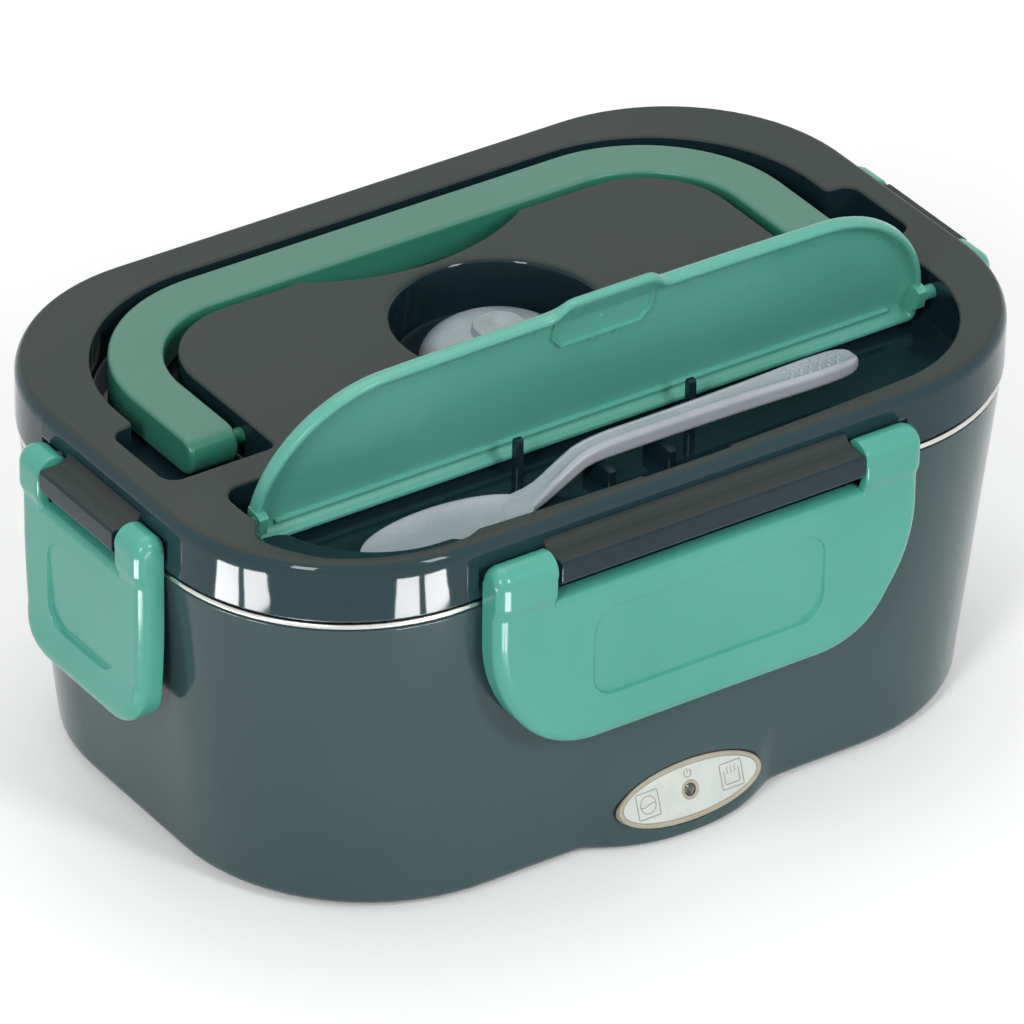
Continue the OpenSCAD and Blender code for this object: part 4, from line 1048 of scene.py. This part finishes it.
milky = Finish("milky_silicone", sheen=0.5, Subsurface_Weight=0.35,
               Subsurface_Radius=(0.004, 0.004, 0.005), Transmission_Weight=0.25, IOR=1.41)
# painted light: the cap is painted paler up its dome, towards its lit top; the clouds are its own
# milkiness
milky_painted_top_light = (milky.axis("Z") / mm).ramp(valve_z + 1, valve_z + 9)
milky_cloud = milky.noise(70, 3).ramp(0.35, 0.7)
milky.stain(milky_cloud * 0.5 + milky_painted_top_light * 0.5, (142, 153, 156), (188, 201, 205))
milky.put("Roughness", milky_cloud.ramp(0, 1, 0.22, 0.36))
milky.bump(milky_cloud, 0.00006, 0.4)

valve = bmesh.new()
dome = [(0, 0), (dome_r - 0.8, 0), (dome_r - 0.2, 0.2), (dome_r, 0.7), (dome_r, 1.8),
        (dome_r - 0.3, 3.1), (dome_r - 1.1, 4.6), (dome_r - 2.3, 5.9), (dome_r - 4, 7.1),
        (dome_r - 6.2, 8.1), (dome_r - 8.6, 8.8), (dome_r - 11, 9.2), (7.4, 9.4), (7, 9.5),
        (6.8, 9.8), (6.7, 10.8), (6.4, 11.3), (5.8, 11.6), (4.4, 11.7), (3.4, 11.5), (2.4, 11.1),
        (1.2, 10.9), (0, 10.85)]
turn_up(valve, dome, (0, well_y, valve_z), 64)
turn_up(valve, [(0, -2.9), (2.4, -2.9), (2.9, -2.4), (2.9, 0.4), (0, 0.4)],
        (0, well_y, valve_z), 24)
piece("steam_cap", valve, milky, "valve", ["vent_valve"], crease=30)


# ---- Spoon ----
# A small spoon moulded in pale translucent plastic: a shallow oval bowl, a neck that rises in
# an S, and a handle that widens to a paddle with a dotted thumb grip.

spoon_y = -47.8
spoon_z = 95.5
bowl_x = -53.5
bowl_y = -52
bowl_low = 87.95

pale_plastic = mottled("pale_spoon_plastic", 45, 3, (172, 178, 184), (184, 190, 196),
                       (0.24, 0.34), (700, 0.00001, 0.2), sheen=0.45, Subsurface_Weight=0.3,
                       Subsurface_Radius=(0.003, 0.003, 0.004))

# x, y, height of the middle, width, thickness and dish of the top, from the neck to the tip
spoon_line = [(-38, -51.9, 88.7, 7, 0.6, 0), (-35, -51.5, 89.2, 9, 1.2, 0),
              (-32, -51, 89.55, 8.6, 1.8, 0.1), (-29, -50.4, 89.8, 7.2, 2.4, 0.2),
              (-26, -49.8, 90.2, 6.4, 3.1, 0.3), (-23, -49.1, 91, 6, 3.6, 0.35),
              (-20, -48.6, 92.1, 6, 3.9, 0.4), (-17, -48.3, 93.4, 6, 4.1, 0.4),
              (-14, -48, 94.6, 6, 4.3, 0.4), (-11, -47.9, 95.2, 6, 4.5, 0.4),
              (-8, spoon_y, 95.4, 6, 4.7, 0.4)]
spoon_line += [(x, spoon_y, spoon_z, *sizes) for x, *sizes in (
    (-4, 6, 4.9, 0.4), (4, 6, 4.9, 0.4), (14, 6.1, 4.9, 0.45), (24, 6.4, 4.9, 0.5),
    (34, 6.9, 4.9, 0.6), (42, 7.6, 4.8, 0.7), (49, 8.3, 4.7, 0.8), (55, 8.6, 4.6, 0.8),
    (60, 8.4, 4.5, 0.7), (62.8, 7.7, 4.2, 0.5), (64.6, 6.4, 3.7, 0.3), (65.6, 4.8, 3, 0.1),
    (66, 3, 2.2, 0))]


def spoon_section(wide, thick, dish):
    r = min(1.5, thick * 0.34, wide * 0.3)
    hx, hz = wide / 2, thick / 2
    top = corners((0.45 * hx, hz - 0.7 * dish), (0, hz - dish), (-0.45 * hx, hz - 0.7 * dish))
    one, two, three, four = quarters(hx, hz, r, 5)
    return one + top + two + three + four


spoon = bmesh.new()
spoon_loops = []
for i, (x, y, z, wide, thick, dish) in enumerate(spoon_line):
    before = spoon_line[max(i - 1, 0)]
    after = spoon_line[min(i + 1, len(spoon_line) - 1)]
    way = Vector((after[0] - before[0], after[2] - before[2])).normalized()
    spoon_loops.append(ring(spoon, [(x - way.y * p.y, y + p.x, z + way.x * p.y)
                                    for p in spoon_section(wide, thick, dish)]))
skin(spoon, spoon_loops)
cap(spoon, spoon_loops[0], spoon_loops[-1])
bowl_lines = [(11.5, 5, 0), (16, 7, 0.35), (20, 8.6, 1), (22.6, 9.6, 1.8), (23.4, 9.95, 2.3),
              (23.5, 10, 2.55), (23.2, 9.8, 2.6), (22.7, 9.4, 2.55), (21.6, 8.8, 2.2),
              (19, 7.6, 1.6), (15, 6, 1.1), (10, 4, 0.9)]
bowl_loops = skin(spoon, [ring(spoon, ellipse(bowl_x, bowl_y, a, b, 60), bowl_low + z)
                          for a, b, z in bowl_lines])
cap(spoon, bowl_loops[0], bowl_loops[-1])
# the dots of the thumb grip
grip_z = 97.1
dot = [(0, 0.62), (0.24, 0.55), (0.38, 0.38), (0.42, 0), (0, 0)]
for i in range(6):
    for row in (-1, 0, 1):
        x = 46.5 + 2.7 * i + (1.3 if row == 0 else 0)
        turn_up(spoon, dot, (x, spoon_y + 1.7 * row, grip_z), 10)
piece("spoon_body", spoon, pale_plastic, "spoon", ["spoon"], crease=50)


# ---- Badge ----
# An oval window in the chin: a beige frame round a pale printed panel, with the status lamp's
# ringed lens in the middle. The panel's two small pictures are printed in thin grey lines.

badge_y = -77.07
on_badge = (Matrix.Translation((0, badge_y, badge_z))
            @ Matrix.Rotation(radians(90) - badge_tilt, 4, "X"))

beige = mottled("beige_frame", 120, 2, (178, 170, 152), (190, 182, 164),
                grain=(900, 0.00001, 0.3), sheen=0.4, Roughness=0.4)
printed = mottled("printed_panel", 150, 2, (216, 223, 216), (222, 228, 221), (0.2, 0.32),
                  sheen=0.4)
ink = mottled("grey_print", 500, 2, (138, 138, 134), (154, 154, 149), (0.35, 0.5), sheen=0.3)
smoky = mottled("smoky_lamp_lens", 900, 3, (62, 64, 62), (112, 112, 106), (0.12, 0.3),
                ends=(0.4, 0.6), sheen=0.6)


def oval(inset):
    return ellipse(0, 0, badge_a - inset, badge_b - inset, 90)


frame_line = [(0, -2.4), (0, 0.2), (0.08, 0.38), (0.25, 0.5), (1.05, 0.5), (1.22, 0.42),
              (1.3, 0.26), (1.3, -2.4)]
oval_frame = bmesh.new()
skin(oval_frame, [ring(oval_frame, oval(inset), z) for inset, z in frame_line], closed=True)
piece("oval_frame", oval_frame, beige, "base", ["badge_frame"], place=on_badge)

panel = bmesh.new()
face, back = [ring(panel, oval(1.37), z) for z in (0.3, -1.1)]
hole, hole_back = [ring(panel, arc(0, 0, 2.45, 0, 356, 89), z) for z in (0.3, -1.1)]
fill(panel, face + hole)
skin(panel, [face, back, hole_back, hole])
piece("pale_panel", panel, printed, "base", ["badge_panel"], place=on_badge)

lens_ring = bmesh.new()
turn_up(lens_ring, [(2.4, -1.1), (2.4, 0.3), (2.3, 0.42), (2, 0.45), (1.75, 0.4),
                    (1.6, 0.25), (1.6, -1.1), (2.4, -1.1)], (0, 0, 0), 40)
piece("lens_ring", lens_ring, beige, "base", place=on_badge)

lens = bmesh.new()
turn_up(lens, [(0, 0.34), (0.6, 0.31), (1.1, 0.22), (1.5, 0.05), (1.58, -0.2), (1.58, -1.1),
               (0, -1.1)], (0, 0, 0), 40)
piece("lamp_cap", lens, smoky, "base", ["lamp_lens"], place=on_badge)

print_low = 0.29
print_high = 0.33


def print_loop(bm, outline, wide):
    """A closed printed line of a width."""
    inner = swell(outline, -wide)
    skin(bm, [ring(bm, outline, print_low), ring(bm, outline, print_high),
              ring(bm, inner, print_high), ring(bm, inner, print_low)], closed=True)


prints = bmesh.new()
dish_x = -12.2
pan_x = 12
for cx in (dish_x, pan_x):
    print_loop(prints, [Vector((cx + p.x, p.y)) for p in rounded_box(3.2, 3.3, 0.6)], 0.22)
    bmesh.ops.remove_doubles(prints, verts=prints.verts, dist=0.0005)
print_loop(prints, arc(dish_x, 0, 2.3, 0, 350, 35), 0.2)
food = corners((-14.3, -0.3), (-13.2, -0.5), (dish_x, -0.1), (-11.2, 0.2), (-10.1, 0))
pan = corners((9.9, 1.3), (9.9, -1.7), (10.3, -2.1), (13.7, -2.1), (14.1, -1.7), (14.1, 1.3))
strokes = [(food, 0.2), (pan, 0.24)]
strokes += [(corners((x - 0.2, 0.5), (x + 0.15, 1), (x - 0.15, 1.6), (x + 0.2, 2.2)), 0.18)
            for x in (10.9, pan_x, 13.1)]
# the power symbol above the lamp
strokes += [(arc(0, 4.15, 1, 125, 415, 20), 0.22), (corners((0, 4.2), (0, 5.5)), 0.22)]
stroke_section = [(1, print_low), (1, print_high), (-1, print_high), (-1, print_low)]
for line, wide in strokes:
    draw_line(prints, line, wide, stroke_section)
piece("panel_print", prints, ink, "base", place=on_badge)


# ---- Catch bars ----
# A short bar moulded on each side of the casing, on which a latch's hook closes. The latches
# hide them until they are swung up.

catch_tip = 0.35 - latch_out
low = casing_top - 10 - latch_z
high = casing_top - 7 - latch_z
catch_section = corners((catch_tip - 2.4, low), (catch_tip - 0.4, low), (catch_tip, low + 0.4),
                        (catch_tip, high - 0.4), (catch_tip - 0.4, high), (catch_tip - 2.4, high))
for side, name in enumerate(side_names):
    catch = bmesh.new()
    span(catch, catch_section, soft_ends(34 if side < 2 else 12))
    piece("catch_" + name, catch, petrol, "base", place=turned(side))


def dress(finish, *nodes):
    """Gives a finish to parts whose shape is kept as it was drawn."""
    for name in nodes:
        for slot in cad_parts[name].material_slots:
            slot.material = finish.material


# ---- Bottom and feet ----
# A flat black cover with cooling slots closes the casing from below. Four cross-head screws
# hold it to the liner's posts, and the box stands on four soft rubber feet.

black_plastic = mottled("black_moulded_plastic", 30, 3, (28, 29, 31), (36, 37, 39),
                        (0.34, 0.46), (1300, 0.00003, 0.4), sheen=0.4)
dress(black_plastic, "base_cover")
rubber = mottled("soft_black_rubber", 160, 4, (34, 34, 34), (52, 51, 49), (0.68, 0.85),
                 (1800, 0.00004, 0.5), (0.45, 0.75), sheen=0.3)
dress(rubber, "feet")
zinc = mottled("plated_screws_and_pins", 400, 3, (196, 196, 192), (172, 171, 166), (0.22, 0.4),
               (1500, 0.00002, 0.3), (0.35, 0.7), Metallic=1)
dress(zinc, "base_screws", "clip_screws", "mains_pins", "car_pin")


# ---- Liner and heater ----
# The pot hangs in a black heat-proof liner. A cast aluminium plate in its floor carries a
# brass-cased heating element, a spring clip, a button thermostat and a ceramic fuse.

dress(black_plastic, "inner_liner")
cast = Finish("cast_aluminium_plate", Metallic=1)
cast_brush = cast.streaks(14, (3, 120, 3))
cast.stain(cast.noise(40, 3), (176, 177, 178), (196, 197, 197))
cast.put("Roughness", cast_brush.ramp(0.3, 0.7, 0.28, 0.42))
cast.bump(cast_brush, 0.00003, 0.4)
dress(cast, "heating_plate")
brass = mottled("brass_heater_case", 60, 4, (204, 172, 98), (168, 128, 72), (0.25, 0.42),
                ends=(0.4, 0.75), Metallic=1)
dress(brass, "ptc_heater")
spring = mottled("bright_spring_steel", 80, 3, (186, 187, 188), (204, 204, 203), (0.2, 0.34),
                 Metallic=1)
dress(spring, "heater_clip", "thermostat")
ceramic = mottled("white_ceramic", 300, 3, (222, 219, 210), (232, 230, 224), Roughness=0.35)
dress(ceramic, "thermal_fuse", "status_lamp")


# ---- Inlets, leads and lamp board ----
# Two sockets in the back wall take a mains lead or a car lead, and plain red leads run from
# them to the heater and from there to the small green board behind the badge.

socket_black = mottled("glossy_black_sockets", 90, 3, (22, 23, 24), (30, 31, 32), (0.16, 0.26))
dress(socket_black, "mains_inlet", "car_inlet")
red_lead = mottled("red_silicone_leads", 200, 2, (150, 34, 30), (168, 44, 38), (0.4, 0.55),
                   sheen=0.4)
dress(red_lead, "heater_leads", "lamp_leads")
board_green = mottled("green_lamp_board", 900, 2, (24, 84, 52), (32, 98, 62), (0.25, 0.4),
                      ends=(0.4, 0.6))
dress(board_green, "lamp_board")


# ---- Inner lid and gasket ----
# A pale plate under the lid keeps the steam off it, with a ring of holes below the valve. A
# milky silicone ring round it seals on the pot's flange.

plate_pale = mottled("pale_inner_lid", 40, 3, (206, 209, 208), (216, 218, 216), (0.3, 0.42),
                     (1200, 0.00002, 0.3), sheen=0.4)
dress(plate_pale, "lid_inner")
dress(milky, "lid_gasket")
